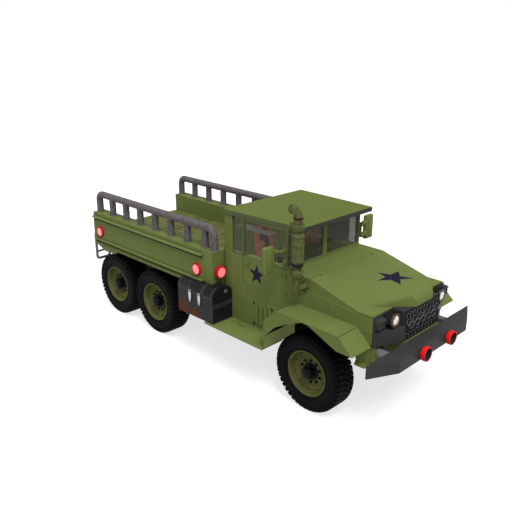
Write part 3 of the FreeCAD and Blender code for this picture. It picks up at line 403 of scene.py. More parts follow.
@dataclass(frozen=True)
class Glass:
    """Clear or tinted pane that shows what is behind it.

    Attributes:
        name: Material's name.
        colour: Tint.
        alpha: How much of the tint covers what is behind.
        roughness: Roughness of the pane.
        shade: Alpha of the painted shade on the far door's main pane, or 0 for none.
        shade_tint: Colour of that painted shade.
        screen: Alpha that the windscreen has above the other panes.
        glow: Strength of its own light.
    """

    name: str
    colour: Colour
    alpha: float
    roughness: float = 0.06
    shade: float = 0.0
    shade_tint: Colour = (0.034, 0.030, 0.034)
    screen: float = 0.27
    glow: float = 0.0

    def material(self) -> bpy.types.Material:
        """Build the material."""
        g = Graph(self.name)
        streak = g.noise(3.0, 3, 0.5, (1, 1, 0.3))
        alpha = g.ease(streak, 0.35, 0.7, self.alpha * 0.85, self.alpha * 1.15)
        tone = self.colour
        if self.shade:
            x, y, _ = g.xyz()
            ribs = ((x * (math.tau / 0.105)).math("SINE") > 0.75) * 0.04
            # The far door's main pane gets a nearly opaque dark patch with faint stripes: painted shade.
            on_shaded_pane = (y > 0.6) * (x < VENT_BAR_X)
            tone = g.blend(on_shaded_pane, self.colour, g.blend(ribs * 10, self.shade_tint,
                                                        tuple(c * 0.6 for c in self.shade_tint)))
            front = (x > SCREEN_X) * (y > -SCREEN_HALF) * (y < SCREEN_HALF)
            alpha = alpha * (1 - on_shaded_pane) + on_shaded_pane * (self.shade + ribs) + front * (1 - on_shaded_pane) * self.screen
        g.set(Base_Color=tone, Roughness=self.roughness, Alpha=alpha, Specular_IOR_Level=0.1,
              Emission_Color=self.colour, Emission_Strength=self.glow)
        g.bump(streak, 0.0005, 0.2)
        g.material.surface_render_method = "BLENDED"
        return g.material


@dataclass(frozen=True)
class Leather:
    """Seat leather with pebbled grain and worn, paler high spots.

    Attributes:
        name: Material's name.
        colour: Leather's colour.
        pebbles: Grains per metre.
        glow: Strength of its own light.
    """

    name: str
    colour: Colour
    pebbles: float = 260.0
    glow: float = 0.0

    def material(self) -> bpy.types.Material:
        """Build the material."""
        g = Graph(self.name)
        grain = g.cells(self.pebbles)
        slow = g.noise(7, 4)
        worn = g.ease(slow, 0.45, 0.75)
        g.set(Base_Color=g.blend(worn * 0.5, self.colour, tuple(min(1, c * 1.5) for c in self.colour)),
              Roughness=g.ease(grain + slow * 0.3, 0.1, 0.8, 0.34, 0.52), Specular_IOR_Level=0.35,
              Emission_Color=self.colour, Emission_Strength=self.glow)
        g.bump(grain + g.noise(40, 3) * 0.6, 0.0010, 0.5)
        return g.material


@dataclass(frozen=True)
class Lens:
    """Lit lamp lens with moulded ribs.

    Attributes:
        name: Material's name.
        colour: Colour of the plastic.
        light: Colour of its own light.
        glow: Strength of its own light.
        pitch: Distance between two ribs.
        specks: Share of dirt specks.
    """

    name: str
    colour: Colour
    light: Colour
    glow: float
    pitch: float = 0.009
    specks: float = 0.0

    def material(self) -> bpy.types.Material:
        """Build the material."""
        g = Graph(self.name)
        x, y, z = g.xyz()
        ribs = ((x + y) * (math.tau / self.pitch)).math("SINE") * (z * (math.tau / self.pitch)).math("SINE")
        even = g.ease(ribs, -1, 1, 0.86, 1.0)
        lit = g.dim(self.light, even, even, even)
        flake = g.ease(g.cells(62.0), 0.30, 0.52) * self.specks
        dirt = (0.10, 0.07, 0.05)
        lit = g.blend(flake, lit, dirt)
        g.set(Base_Color=g.blend(flake, self.colour, dirt), Roughness=g.ease(ribs, -1, 1, 0.18, 0.3),
              Emission_Color=lit, Emission_Strength=self.glow, Coat_Weight=0.5)
        g.bump(ribs, 0.0008, 0.6)
        return g.material




# ------------------------------------------------------------------ bench tools
class Slot(Enum):
    """The record's material slots."""

    OLIVE = "olive"
    OLIVE_RIM = "olive_rim"
    DARK_GREY = "dark_grey"
    SIGNAL_RED = "signal_red"
    TYRE = "tyre"
    DARK_STEEL = "dark_steel"
    IRON = "iron"
    BRIGHT_STEEL = "bright_steel"
    CHROME = "chrome"
    LENS = "lens"
    LAMP_GLASS = "lamp_glass"
    GLASS = "glass"
    SEAT = "seat"
    BLACK_TRIM = "black_trim"
    PIPE_PAINT = "pipe_paint"
    FLOOR_PAINT = "floor_paint"
    CHARCOAL = "charcoal"


class Axis(Enum):
    """The row frame's axes."""

    X = (1.0, 0.0, 0.0)
    Y = (0.0, 1.0, 0.0)
    Z = (0.0, 0.0, 1.0)


def take(obj: bpy.types.Object) -> None:
    """Select one object alone."""
    bpy.ops.object.select_all(action="DESELECT")
    obj.select_set(True)
    bpy.context.view_layer.objects.active = obj


def open_mesh(obj: bpy.types.Object) -> None:
    """Enter edit mode on one object, with all of it selected."""
    take(obj)
    bpy.ops.object.mode_set(mode="EDIT")
    bpy.ops.mesh.select_mode(type="VERT")
    bpy.ops.mesh.select_all(action="SELECT")


def close_mesh() -> None:
    """Leave edit mode."""
    bpy.ops.object.mode_set(mode="OBJECT")


def pick_faces(obj: bpy.types.Object, test: Callable[[bmesh.types.BMFace], bool]) -> None:
    """Select the faces that pass a test, and no others, in edit mode."""
    bpy.ops.mesh.select_mode(type="FACE")
    bpy.ops.mesh.select_all(action="DESELECT")
    shape = bmesh.from_edit_mesh(obj.data)
    for face in shape.faces:
        face.select_set(test(face))
    bmesh.update_edit_mesh(obj.data)


def pick_edges(obj: bpy.types.Object, test: Callable[[bmesh.types.BMEdge], bool]) -> None:
    """Select the edges that pass a test, and no others, in edit mode."""
    bpy.ops.mesh.select_mode(type="EDGE")
    bpy.ops.mesh.select_all(action="DESELECT")
    shape = bmesh.from_edit_mesh(obj.data)
    for edge in shape.edges:
        edge.select_set(test(edge))
    bmesh.update_edit_mesh(obj.data)


class Piece:
    """One modelled piece: shaped at the bench, dressed, then fixed to a body."""

    def __init__(self, obj: bpy.types.Object) -> None:
        """Take over a Blender object."""
        self.obj = obj

    # -- starts
    @classmethod
    def block(cls, name: str, low: Point, high: Point, bevel: float = 0.004, segments: int = 2) -> "Piece":
        """Box between two corners with rounded edges.

        Args:
            name: Piece's name.
            low: One corner.
            high: The other corner.
            bevel: Width of the rounding.
            segments: Steps of the rounding.

        Returns:
            The piece.
        """
        middle = [(a + b) / 2 for a, b in zip(low, high)]
        size = [abs(b - a) for a, b in zip(low, high)]
        bpy.ops.object.select_all(action="DESELECT")
        bpy.ops.mesh.primitive_cube_add(size=1, location=middle, scale=size)
        piece = cls(bpy.context.object).settle(name)
        return piece.bevel_all(min(bevel, min(size) * 0.4), segments) if bevel else piece

    @classmethod
    def rod(cls, name: str, start: Point, end: Point, radius: float, far_radius: Optional[float] = None,
            sides: int = 32, bevel: float = 0.0) -> "Piece":
        """Round bar or cone between two points, with rounded rims."""
        first, last = Vector(start), Vector(end)
        run = last - first
        turn = run.to_track_quat("Z", "Y").to_euler()
        bpy.ops.object.select_all(action="DESELECT")
        bpy.ops.mesh.primitive_cone_add(vertices=sides, radius1=radius,
                                        radius2=far_radius if far_radius is not None else radius,
                                        depth=run.length, location=(first + last) / 2, rotation=turn)
        piece = cls(bpy.context.object).settle(name)
        if bevel:
            open_mesh(piece.obj)
            pick_edges(piece.obj, lambda e: len(e.link_faces) == 2
                       and max(len(f.verts) for f in e.link_faces) > 4)
            bpy.ops.mesh.bevel(offset=bevel, segments=2, affect="EDGES")
            close_mesh()
        return piece

    @classmethod
    def trace(cls, name: str, points: Sequence[Point]) -> "Piece":
        """Wire through points, extruded vertex by vertex; it is left open in edit mode."""
        bpy.ops.object.select_all(action="DESELECT")
        bpy.ops.mesh.primitive_plane_add(size=0.001, location=points[0])
        piece = cls(bpy.context.object).settle(name)
        open_mesh(piece.obj)
        bpy.ops.mesh.merge(type="CENTER")
        for here, there in zip(points, points[1:]):
            bpy.ops.mesh.extrude_vertices_move(TRANSFORM_OT_translate={"value": Vector(there) - Vector(here)})
        return piece

    @classmethod
    def lathe(cls, name: str, profile: Sequence[tuple[float, float]], centre: Point, axis: Axis = Axis.Y,
              steps: int = 48) -> "Piece":
        """Turned piece.

        Args:
            name: Piece's name.
            profile: (radius, distance along the axis) pairs; it starts and ends on the axis, or at one point.
            centre: Where distance 0 lies.
            axis: Axis of the lathe.
            steps: Steps in a full turn.

        Returns:
            The piece.
        """
        along = Vector(axis.value)
        out = Vector(UP) if axis is not Axis.Z else Vector(AHEAD)
        points = [Vector(centre) + out * r + along * d for r, d in profile]
        piece = cls.trace(name, points)
        bpy.ops.mesh.select_all(action="SELECT")
        bpy.ops.mesh.spin(steps=steps, angle=math.tau, center=centre, axis=along)
        return piece.sound()

    @classmethod
    def slab(cls, name: str, outline: Sequence[Point], thickness: Point, bevel: float = 0.0,
             segments: int = 2) -> "Piece":
        """Flat outline extruded by a vector, with rounded edges."""
        piece = cls.trace(name, outline)
        bpy.ops.mesh.select_all(action="SELECT")
        bpy.ops.mesh.edge_face_add()
        bpy.ops.mesh.extrude_region_move(TRANSFORM_OT_translate={"value": Vector(thickness)})
        piece.sound()
        return piece.bevel_all(bevel, segments) if bevel else piece

    @classmethod
    def pipe(cls, name: str, points: Sequence[Point], radius: float, bend: float = 0.05,
             sides: int = 4) -> "Piece":
        """Round tube along straight runs with rounded corners, as a bevelled curve made a mesh."""
        route = [Vector(p) for p in points]
        path: list[Vector] = [route[0]]
        for before, corner, after in zip(route, route[1:], route[2:]):
            into, out = (corner - before).normalized(), (after - corner).normalized()
            reach = min(bend, (corner - before).length * 0.45, (after - corner).length * 0.45)
            start, end = corner - into * reach, corner + out * reach
            path += [start.lerp(corner, t).lerp(corner.lerp(end, t), t) for t in (0, 0.2, 0.4, 0.6, 0.8, 1)]
        path.append(route[-1])
        curve = bpy.data.curves.new(name, "CURVE")
        curve.dimensions = "3D"
        curve.bevel_depth, curve.bevel_resolution, curve.use_fill_caps = radius, sides, True
        spline = curve.splines.new("POLY")
        spline.points.add(len(path) - 1)
        for point, place in zip(spline.points, path):
            point.co = (*place, 1)
        obj = bpy.data.objects.new(name, curve)
        bpy.context.scene.collection.objects.link(obj)
        take(obj)
        bpy.ops.object.convert(target="MESH")
        return cls(bpy.context.object).smooth(40)

    @classmethod
    def from_node(cls, node: str, bevel: float = 0.003, segments: int = 2, smooth: float = 32) -> "Piece":
        """Copy of a CAD node with its triangles merged and its edges rounded.

        Args:
            node: CAD node to copy.
            bevel: Width of the rounding, or 0 for none.
            segments: Steps of the rounding.
            smooth: Largest angle in degrees that is shaded smooth.

        Returns:
            The piece, which replaces the node once it is fixed.
        """
        obj = bpy.data.objects.new(node + "_body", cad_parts[node].data.copy())
        bpy.context.scene.collection.objects.link(obj)
        obj.data.materials.clear()
        piece = cls(obj)
        take(obj)
        bpy.ops.mesh.customdata_custom_splitnormals_clear()
        open_mesh(obj)
        bpy.ops.mesh.remove_doubles(threshold=WELD)
        bpy.ops.mesh.dissolve_limited(angle_limit=math.radians(0.4))
        close_mesh()
        if bevel:
            piece.modify("BEVEL", width=bevel, segments=segments, limit_method="ANGLE",
                         angle_limit=math.radians(34))
        return piece.smooth(smooth)

    # -- work
    def settle(self, name: str) -> "Piece":
        """Name the object and put its place into its mesh."""
        self.obj.name = self.obj.data.name = name
        bpy.ops.object.transform_apply(location=True, rotation=True, scale=True)
        return self

    def sound(self) -> "Piece":
        """Merge doubles, turn all faces outward and leave edit mode."""
        bpy.ops.mesh.select_all(action="SELECT")
        bpy.ops.mesh.remove_doubles(threshold=WELD)
        bpy.ops.mesh.normals_make_consistent(inside=False)
        close_mesh()
        return self

    def bevel_all(self, width: float, segments: int = 2) -> "Piece":
        """Round every edge by hand."""
        open_mesh(self.obj)
        bpy.ops.mesh.bevel(offset=width, segments=segments, affect="EDGES")
        close_mesh()
        return self

    def on_faces(self, test: Callable[[bmesh.types.BMFace], bool], work: Callable[..., object],
                 **settings: object) -> "Piece":
        """Run one edit-mode operator on the faces that pass a test."""
        open_mesh(self.obj)
        pick_faces(self.obj, test)
        work(**settings)
        close_mesh()
        return self

    def modify(self, kind: str, **settings: object) -> "Piece":
        """Add one modifier, set it and apply it."""
        take(self.obj)
        modifier = self.obj.modifiers.new(kind.title(), kind)
        for name, value in settings.items():
            setattr(modifier, name, value)
        bpy.ops.object.modifier_apply(modifier=modifier.name)
        return self

    def smooth(self, angle: float = 35) -> "Piece":
        """Shade smooth up to an angle in degrees."""
        take(self.obj)
        bpy.ops.object.shade_smooth_by_angle(angle=math.radians(angle))
        return self

    def ring(self, count: int, axis: Axis = Axis.Y) -> "Piece":
        """Repeat the piece round an axis through the origin."""
        pivot = bpy.data.objects.new("pivot", None)
        bpy.context.scene.collection.objects.link(pivot)
        pivot.matrix_world = Matrix.Rotation(math.tau / count, 4, Vector(axis.value))
        bpy.context.view_layer.update()
        self.modify("ARRAY", count=count, use_relative_offset=False, use_object_offset=True,
                    offset_object=pivot)
        bpy.data.objects.remove(pivot)
        return self

    def moved(self, matrix: Matrix) -> "Piece":
        """Move the piece's mesh."""
        self.obj.data.transform(matrix)
        if matrix.to_3x3().determinant() < 0:
            self.obj.data.flip_normals()
        return self

    def copy(self, name: str, matrix: Matrix = Matrix.Identity(4)) -> "Piece":
        """Copy with its own mesh, moved by a matrix."""
        obj = bpy.data.objects.new(name, self.obj.data.copy())
        bpy.context.scene.collection.objects.link(obj)
        return Piece(obj).moved(matrix)

    def join(self, others: Iterable["Piece"]) -> "Piece":
        """Join other pieces into this one."""
        take(self.obj)
        for other in others:
            other.obj.select_set(True)
        bpy.ops.object.join()
        return self

    def paint(self, *materials: bpy.types.Material) -> "Piece":
        """Give the piece its materials, the first one all over."""
        self.obj.data.materials.clear()
        for material in materials:
            self.obj.data.materials.append(material)
        return self

    def paint_faces(self, index: int, test: Callable[[bpy.types.MeshPolygon], bool]) -> "Piece":
        """Give the faces that pass a test another of the piece's materials."""
        for face in self.obj.data.polygons:
            if test(face):
                face.material_index = index
        return self

    def fix(self, body: str, slot: Slot, *nodes: str) -> "Piece":
        """Let the piece ride on a body and put it in the place of CAD nodes."""
        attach(self.obj, body)
        if nodes:
            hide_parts(*nodes)
        LOG.info("%s rides on %s: %d faces", self.obj.name, body, len(self.obj.data.polygons))
        return self


def shift(x: float = 0, y: float = 0, z: float = 0) -> Matrix:
    """Matrix that moves by a distance."""
    return Matrix.Translation((x, y, z))


def turn(degrees: float, axis: Axis) -> Matrix:
    """Matrix that turns about an axis through the origin."""
    return Matrix.Rotation(math.radians(degrees), 4, Vector(axis.value))


def facing(place: Point, direction: Point) -> Matrix:
    """Matrix that stands a piece made along +Z at a place, along a direction."""
    return Matrix.Translation(place) @ Vector(direction).to_track_quat("Z", "Y").to_matrix().to_4x4()


def joined(name: str, pieces: Sequence[Piece]) -> Piece:
    """Join pieces under a new name."""
    pieces[0].obj.name = name
    return pieces[0].join(pieces[1:])


@dataclass
class Fasteners:
    """Bolt heads and rivets, each modelled once and copied.

    Attributes:
        across: Width of a bolt's head.
        height: Height of a bolt's head.
    """

    across: float = 0.020
    height: float = 0.009

    def bolt(self) -> Piece:
        """Hexagonal head on a washer, made along +Z from the origin."""
        head = Piece.rod("bolt", (0, 0, 0.002), (0, 0, self.height), self.across / 2, sides=6)
        washer = Piece.rod("washer", ORIGIN, (0, 0, 0.0025), self.across * 0.68, sides=12)
        return head.join([washer]).smooth(30)

    def rivet(self) -> Piece:
        """Low domed head, made along +Z from the origin."""
        r = self.across / 2
        profile = [(0.0, 0.0), (r, 0.0), (r * 0.8, r * 0.35), (r * 0.4, r * 0.52), (0.0, r * 0.58)]
        return Piece.lathe("rivet", profile, ORIGIN, Axis.Z, 8).smooth(60)

    @staticmethod
    def spread(name: str, head: Piece, places: Sequence[tuple[Point, Point]]) -> Piece:
        """Copies of a head, one at each (place, direction), joined; the head itself is removed."""
        copies = [head.copy(name, facing(place, direction)) for place, direction in places]
        bpy.data.objects.remove(head.obj)
        return joined(name, copies)


# ------------------------------------------------------------------ finishes of this truck
HOOD_STAR = Star((2.589, 0.0, 1.852), across=1, upward=0, flip=-1, radius=0.266)
DOOR_STARS = (Star((0.830, -0.846, 1.636), across=0, upward=2, flip=1, radius=0.165),
              Star((0.830, 0.846, 1.636), across=0, upward=2, flip=1, radius=0.165))
OLIVE_COLOUR = (0.142, 0.180, 0.052)


FINISHES = {
    "olive": Paint("olive_paint", OLIVE_COLOUR),
    "hood_olive": Paint("olive_hood_paint", OLIVE_COLOUR, roughness=0.55, stars=(HOOD_STAR,), shine=0.015),
    "door_olive": Paint("olive_door_paint", OLIVE_COLOUR, stars=DOOR_STARS),
    "rim_olive": Paint("olive_rim_paint", (0.095, 0.102, 0.030), 0.55, 0.25, 0.0008, 0.25),
    "grey": Paint("dark_grey_paint", (0.044, 0.044, 0.047), 0.42, 0.15, 0.0004, 0.10),
    "seam": Paint("seam_shadow", (0.030, 0.028, 0.026), 0.8, 0.1),
    "red": Paint("signal_red_paint", (0.70, 0.016, 0.016), 0.35, 0.08, 0.0002, 0.0),
    # Dark teal for the tow rings' hollow: painted shade inside them.
    "ring_floor": Paint("ring_inside_painted_shade", (0.006, 0.032, 0.032), 0.6, 0.1, 0.0003, 0.0),
    "rubber": Rubber("tyre_rubber"),
    "gloss_black": Metal("hub_black", (0.0035, 0.0035, 0.0060), 0.20, 0.0, 0.15, (0.008, 0.007, 0.007),
                         shine=0.07),
    "trim": Paint("black_trim", (0.016, 0.016, 0.017), 0.55, 0.2, 0.0006, 0.0),
    "chassis": Metal("chassis_black", (0.022, 0.022, 0.024), 0.55, 0.2, 0.5, (0.06, 0.045, 0.03), 5),
    "cast": Metal("cast_iron", (0.050, 0.048, 0.048), 0.6, 0.6, 0.6, (0.05, 0.032, 0.02), 7),
    "steel": Metal("bright_steel", (0.42, 0.42, 0.44), 0.34, 0.9, 0.35, (0.08, 0.05, 0.035)),
    "chrome": Metal("chrome_edge", (0.62, 0.62, 0.64), 0.14, 1.0, 0.12),
    "strut": Metal("strut_grey", (0.185, 0.175, 0.190), 0.45, 0.15, 0.3),
    "pipe": Rusted("rail_paint", (0.150, 0.138, 0.146), (0.098, 0.088, 0.096), (0.125, 0.076, 0.066), 0.42,
                   17.0),
    "floor": Rusted("floor_paint", (0.140, 0.172, 0.040), (0.098, 0.100, 0.032), (0.118, 0.058, 0.028), 0.34,
                    8.0, 0.7,
                    0.0, (0.55, 1.3, 1)),
    "stack": Rusted("stack_paint", (0.088, 0.106, 0.030), (0.122, 0.138, 0.046), (0.045, 0.030, 0.014), 0.40,
                    17.0,
                    0.7),
    "stack_edge": Rusted("stack_edge", (0.036, 0.008, 0.008), (0.016, 0.007, 0.007), (0.055, 0.012, 0.010),
                         0.5, 20.0),
    "chest": Rusted("chest_paint", (0.0125, 0.0125, 0.0130), (0.0100, 0.0105, 0.0115), (0.105, 0.040, 0.022),
                    0.02,
                    6.0, 0.42, 0.0, (1, 1, 1), ((-0.40, -1.25, 0.84, 0.22), (-0.10, -1.25, 0.80, 0.15))),
    "glass": Glass("window_glass", (0.078, 0.083, 0.060), 0.34, shade=0.93),
    "chest_line": Paint("chest_line", (0.075, 0.075, 0.078), 0.4, 0.1, 0.0002, 0.0, shine=0.4),
    "latch": Metal("latch_blade", (0.62, 0.62, 0.63), 0.35, 0.4, 0.2, (0.2, 0.2, 0.2), 20),
    # Grey shelf with a glow of its own: painted light inside the cab.
    "clear": Glass("glowing_clear_shelf", (0.20, 0.20, 0.205), 0.62, glow=0.75),
    # Both leathers glow: painted light on the seats in the cab's shade.
    "seat": Leather("seat_leather", (0.260, 0.075, 0.055), glow=0.75),
    "seat_dark": Leather("seat_leather_dark", (0.040, 0.030, 0.024), glow=0.3),
    "lamp_glass": Lens("headlamp_glass", (0.75, 0.74, 0.70), (0.95, 0.93, 0.88), 0.80, 0.022, 0.7),
    "lens": Lens("marker_lens", (0.90, 0.10, 0.12), (1.0, 0.22, 0.23), 0.85),
    "lens_rim": Paint("marker_rim", (0.42, 0.012, 0.020), 0.35, 0.1, 0.0002, 0.0),
    "lamp_ring": Metal("lamp_ring", (0.080, 0.056, 0.045), 0.4, 0.6, 0.5, (0.03, 0.02, 0.016), 40),
    "grille_edge": Metal("grille_edge", (0.21, 0.21, 0.225), 0.35, 0.4, 0.8, (0.016, 0.016, 0.018), 34),
    # Lighter olive for raised beads and seams: painted highlight where their edges catch the light.
    "olive_edge": Paint("olive_edge", (0.200, 0.250, 0.082), 0.5, 0.1),
    "shade": Paint("olive_shadow", (0.050, 0.060, 0.020), 0.8, 0.1, 0.0002, 0.0),
    # Olive with a glow of its own: painted light for parts that stand in shade, inside the cab and under the
    # fender.
    "inside": Paint("olive_inside_glow", (0.118, 0.145, 0.050), 0.6, 0.1, 0.0004, 0.0, glow=0.55),
    # Lighter olive with a glow of its own: painted light on the sills seen through the panes.
    "sill": Paint("olive_sill_glow", (0.190, 0.235, 0.095), 0.6, 0.1, 0.0004, 0.0, glow=0.80),
    # Near-black for the roof's front faces: painted shade along the roof's front edge.
    "visor": Paint("roof_front_painted_shade", (0.050, 0.049, 0.043), 0.6, 0.1, 0.0002, 0.0),
    # The roof's olive is darkened by a tenth: painted shade against the strong light on its top.
    "roof_olive": Paint("olive_roof_paint_darkened", tuple(c * 0.90 for c in OLIVE_COLOUR), 0.75, shine=0.0),
    # The running boards' olive is lightened: painted light against the cab's shade over them.
    "board_olive": Paint("olive_board_paint_lightened", tuple(c * 1.14 for c in OLIVE_COLOUR), shine=0.02),
    # Darker olive with a glow of its own for frames behind the flush glass: painted dimming and painted
    # light.
    "glazed": Paint("olive_behind_glass_glow", (0.060, 0.070, 0.030), 0.30, 0.06, 0.0001, 0.0, glow=0.5),
}


class Palette:
    """Every material of the truck, built once; each finish is an attribute."""

    def __init__(self) -> None:
        """Mix every finish."""
        for name, finish in FINISHES.items():
            setattr(self, name, finish.material())


# ------------------------------------------------------------------ wheels
@dataclass
class Wheels:
    """Six lugged tyres on dished rims with black hubs.

    Attributes:
        lugs: Tread lugs round each shoulder.
        lug_length: A lug's length along the tread.
        tread_r: Radius over the middle blocks.
        studs: Wheel nuts on each rim.
        stud_circle: Radius of the nuts' circle.
        holes: Hand holes in each disc.
        rim_steps: Steps of the rim round its axis.
        stations: Name and X of each axle.
        middle_y: Distance of a tyre's middle from the truck's middle.
        radius: Height of the wheels' centres.
        spread: Degrees that each wheel is turned for every metre of its X, so that no two look alike.
    """

    palette: Palette
    lugs: int = 44
    lug_length: float = 0.057
    tread_r: float = 0.5695
    studs: int = 10
    stud_circle: float = 0.163
    holes: int = 10
    rim_steps: int = 60
    stations: tuple[tuple[str, float], ...] = (("front", 2.0), ("mid", -1.447), ("rear", -2.617))
    middle_y: float = 0.8975
    radius: float = 0.570
    spread: float = 17

    def carcass(self) -> Piece:
        """Tyre body without its lugs."""
        half = [(0.3185, 0.118), (0.320, 0.138), (0.334, 0.1485), (0.345, 0.1535), (0.349, 0.1590),
                (0.357, 0.1600), (0.361, 0.1585), (0.375, 0.1690), (0.405, 0.1770), (0.440, 0.1790),
                (0.468, 0.1775), (0.472, 0.1795), (0.480, 0.1790), (0.484, 0.1745), (0.510, 0.1670),
                (0.530, 0.1570), (0.543, 0.1400), (0.5470, 0.1080), (0.5480, 0.0500)]
        profile = half + [(r, -y) for r, y in reversed(half)] + [half[0]]
        return Piece.lathe("tyre", profile, ORIGIN, Axis.Y, self.lugs * 2).smooth(38)

    def shoulder_lug(self, side: int) -> Piece:
        """One lug that wraps over a shoulder, at the top of the tyre."""
        length = self.lug_length
        outline = [(0.062, 0.538), (0.066, 0.5695), (0.138, 0.5690), (0.158, 0.5620), (0.170, 0.5460),
                   (0.1775, 0.5160), (0.1750, 0.4980), (0.1600, 0.5000), (0.1400, 0.5340)]
        points = [(-length / 2, side * y, z) for y, z in outline]
        lug = Piece.slab("lug", points, (length, 0, 0), 0.0025, 1)
        lug.on_faces(lambda f: abs(f.normal.x) > 0.8, bpy.ops.transform.resize, value=(1, 1, 0.996),
                     center_override=(0, 0, 0.52))
        return lug

    def centre_block(self, side: int) -> Piece:
        """One block beside the middle groove, cut in two by a sipe."""
        wide = self.lug_length * 0.48
        block = Piece.block("block", (-wide, side * 0.006, 0.540), (wide, side * 0.056, self.tread_r), 0.0025,
                            1)
        block.on_faces(lambda f: f.normal.y * side > 0.9, bpy.ops.transform.translate,
                       value=(0.012 * side, 0, 0))
        return block

    def tyre(self) -> Piece:
        """Carcass with its ring of lugs."""
        pitch = 360 / self.lugs
        group = [self.shoulder_lug(1), self.shoulder_lug(-1).moved(turn(pitch / 2, Axis.Y)),
                 self.centre_block(1).moved(turn(pitch * 0.25, Axis.Y)),
                 self.centre_block(-1).moved(turn(-pitch * 0.25, Axis.Y))]
        ribs = Piece.block("rib", (-0.004, 0.1735, 0.486), (0.004, 0.1790, 0.502), 0.001, 1)
        other = ribs.copy("rib", MIRROR)
        tread = joined("tread", [*group, ribs, other]).ring(self.lugs, Axis.Y)
        return self.carcass().join([tread])

    def rim(self) -> Piece:
        """Olive rim and dished disc with hand holes, its outer face towards +Y."""
        profile = [(0.112, 0.062), (0.200, 0.062), (0.218, 0.066), (0.232, 0.080), (0.246, 0.088),
                   (0.254, 0.088), (0.284, 0.088), (0.294, 0.094), (0.299, 0.112), (0.301, 0.146),
                   (0.307, 0.157), (0.317, 0.1600), (0.319, 0.1660), (0.326, 0.1695), (0.334, 0.1680),
                   (0.3355, 0.1620), (0.331, 0.1575), (0.3190, 0.1560), (0.3180, 0.130), (0.3180, -0.156),
                   (0.331, -0.158), (0.334, -0.168), (0.326, -0.1695), (0.312, -0.161), (0.304, -0.150),
                   (0.300, 0.030), (0.296, 0.046), (0.112, 0.046), (0.112, 0.062)]
        rim = Piece.lathe("rim", profile, ORIGIN, Axis.Y, self.rim_steps)

        def is_hole(face: bmesh.types.BMFace) -> bool:
            """True for the faces that become hand holes."""
            c = face.calc_center_median()
            reach = math.hypot(c.x, c.z)
            step = round((math.degrees(math.atan2(c.x, c.z)) % 360) / (360 / self.rim_steps) - 0.5)
            return (face.normal.y > 0.9 and 0.256 < reach < 0.282
                    and step % (self.rim_steps // self.holes) == 0)

        open_mesh(rim.obj)
        pick_faces(rim.obj, is_hole)
        bpy.ops.mesh.inset(thickness=0.003, depth=0)
        bpy.ops.mesh.extrude_region_shrink_fatten(TRANSFORM_OT_shrink_fatten={"value": -0.024})
        close_mesh()
        rim.smooth(30).paint(self.palette.rim_olive, self.palette.trim)
        # The hand holes' walls and floors take the black trim: painted shade in the recesses.
        return rim.paint_faces(1, lambda f: 0.250 < math.hypot(f.center.x, f.center.z) < 0.288
                               and 0.060 < f.center.y < 0.0875)

    def hub(self) -> Piece:
        """Black hub with its cap, ridges and wheel nuts, facing +Y."""
        profile = [(0.0, 0.1873), (0.052, 0.1860), (0.074, 0.1800), (0.086, 0.1700), (0.091, 0.1560),
                   (0.0915, 0.1380), (0.0990, 0.1350), (0.0990, 0.1240), (0.0920, 0.1210), (0.0920, 0.1140),
                   (0.0990, 0.1110), (0.0990, 0.1010), (0.0930, 0.0970), (0.0940, 0.0860), (0.1120, 0.0800),
                   (0.1260, 0.0740), (0.1280, 0.0600), (0.0, 0.0600)]
        hub = Piece.lathe("hub", profile, ORIGIN, Axis.Y, 48).smooth(40)
        nut = Piece.rod("nut", (0, 0.060, self.stud_circle), (0, 0.084, self.stud_circle), 0.0165, sides=6,
                        bevel=0.002)
        stud = Piece.rod("stud", (0, 0.084, self.stud_circle), (0, 0.094, self.stud_circle), 0.008, sides=10,
                         bevel=0.0015)
        pad = Piece.rod("pad", (0, 0.060, self.stud_circle), (0, 0.0665, self.stud_circle), 0.0225, sides=16)
        nuts = joined("nuts", [nut, stud, pad]).ring(self.studs, Axis.Y).smooth(30)
        return hub.join([nuts]).paint(self.palette.gloss_black)

    def drum(self) -> Piece:
        """Brake drum behind the disc, open towards the axle."""
        profile = [(0.120, 0.044), (0.206, 0.044), (0.212, 0.036), (0.212, -0.050), (0.218, -0.054),
                   (0.218, -0.066), (0.200, -0.066), (0.198, 0.030), (0.120, 0.032), (0.120, 0.044)]
        return Piece.lathe("drum", profile, ORIGIN, Axis.Y, 48).smooth(35).paint(self.palette.cast)

    def build(self) -> None:
        """Model one wheel and set a copy of it at each station."""
        masters = {"tread": (self.tyre().paint(self.palette.rubber), Slot.TYRE),
                   "disc": (self.rim(), Slot.OLIVE_RIM), "hub": (self.hub(), Slot.IRON),
                   "drum": (self.drum(), Slot.IRON)}
        for side_name, side in SIDES:
            flip = Matrix.Scale(side, 4, (0, 1, 0))
            for place, x in self.stations:
                wheel = "%s_%s" % (place, side_name)
                spot = shift(x, side * self.middle_y, self.radius) @ flip @ turn(self.spread * x, Axis.Y)
                for kind, (master, slot) in masters.items():
                    nodes = {"tread": ("tyre_" + wheel,), "disc": ("rim_" + wheel,)}.get(kind, ())
                    master.copy("wheel_%s_%s" % (kind, wheel), spot).fix("wheel_" + wheel, slot, *nodes)
        for master, _ in masters.values():
            bpy.data.objects.remove(master.obj)


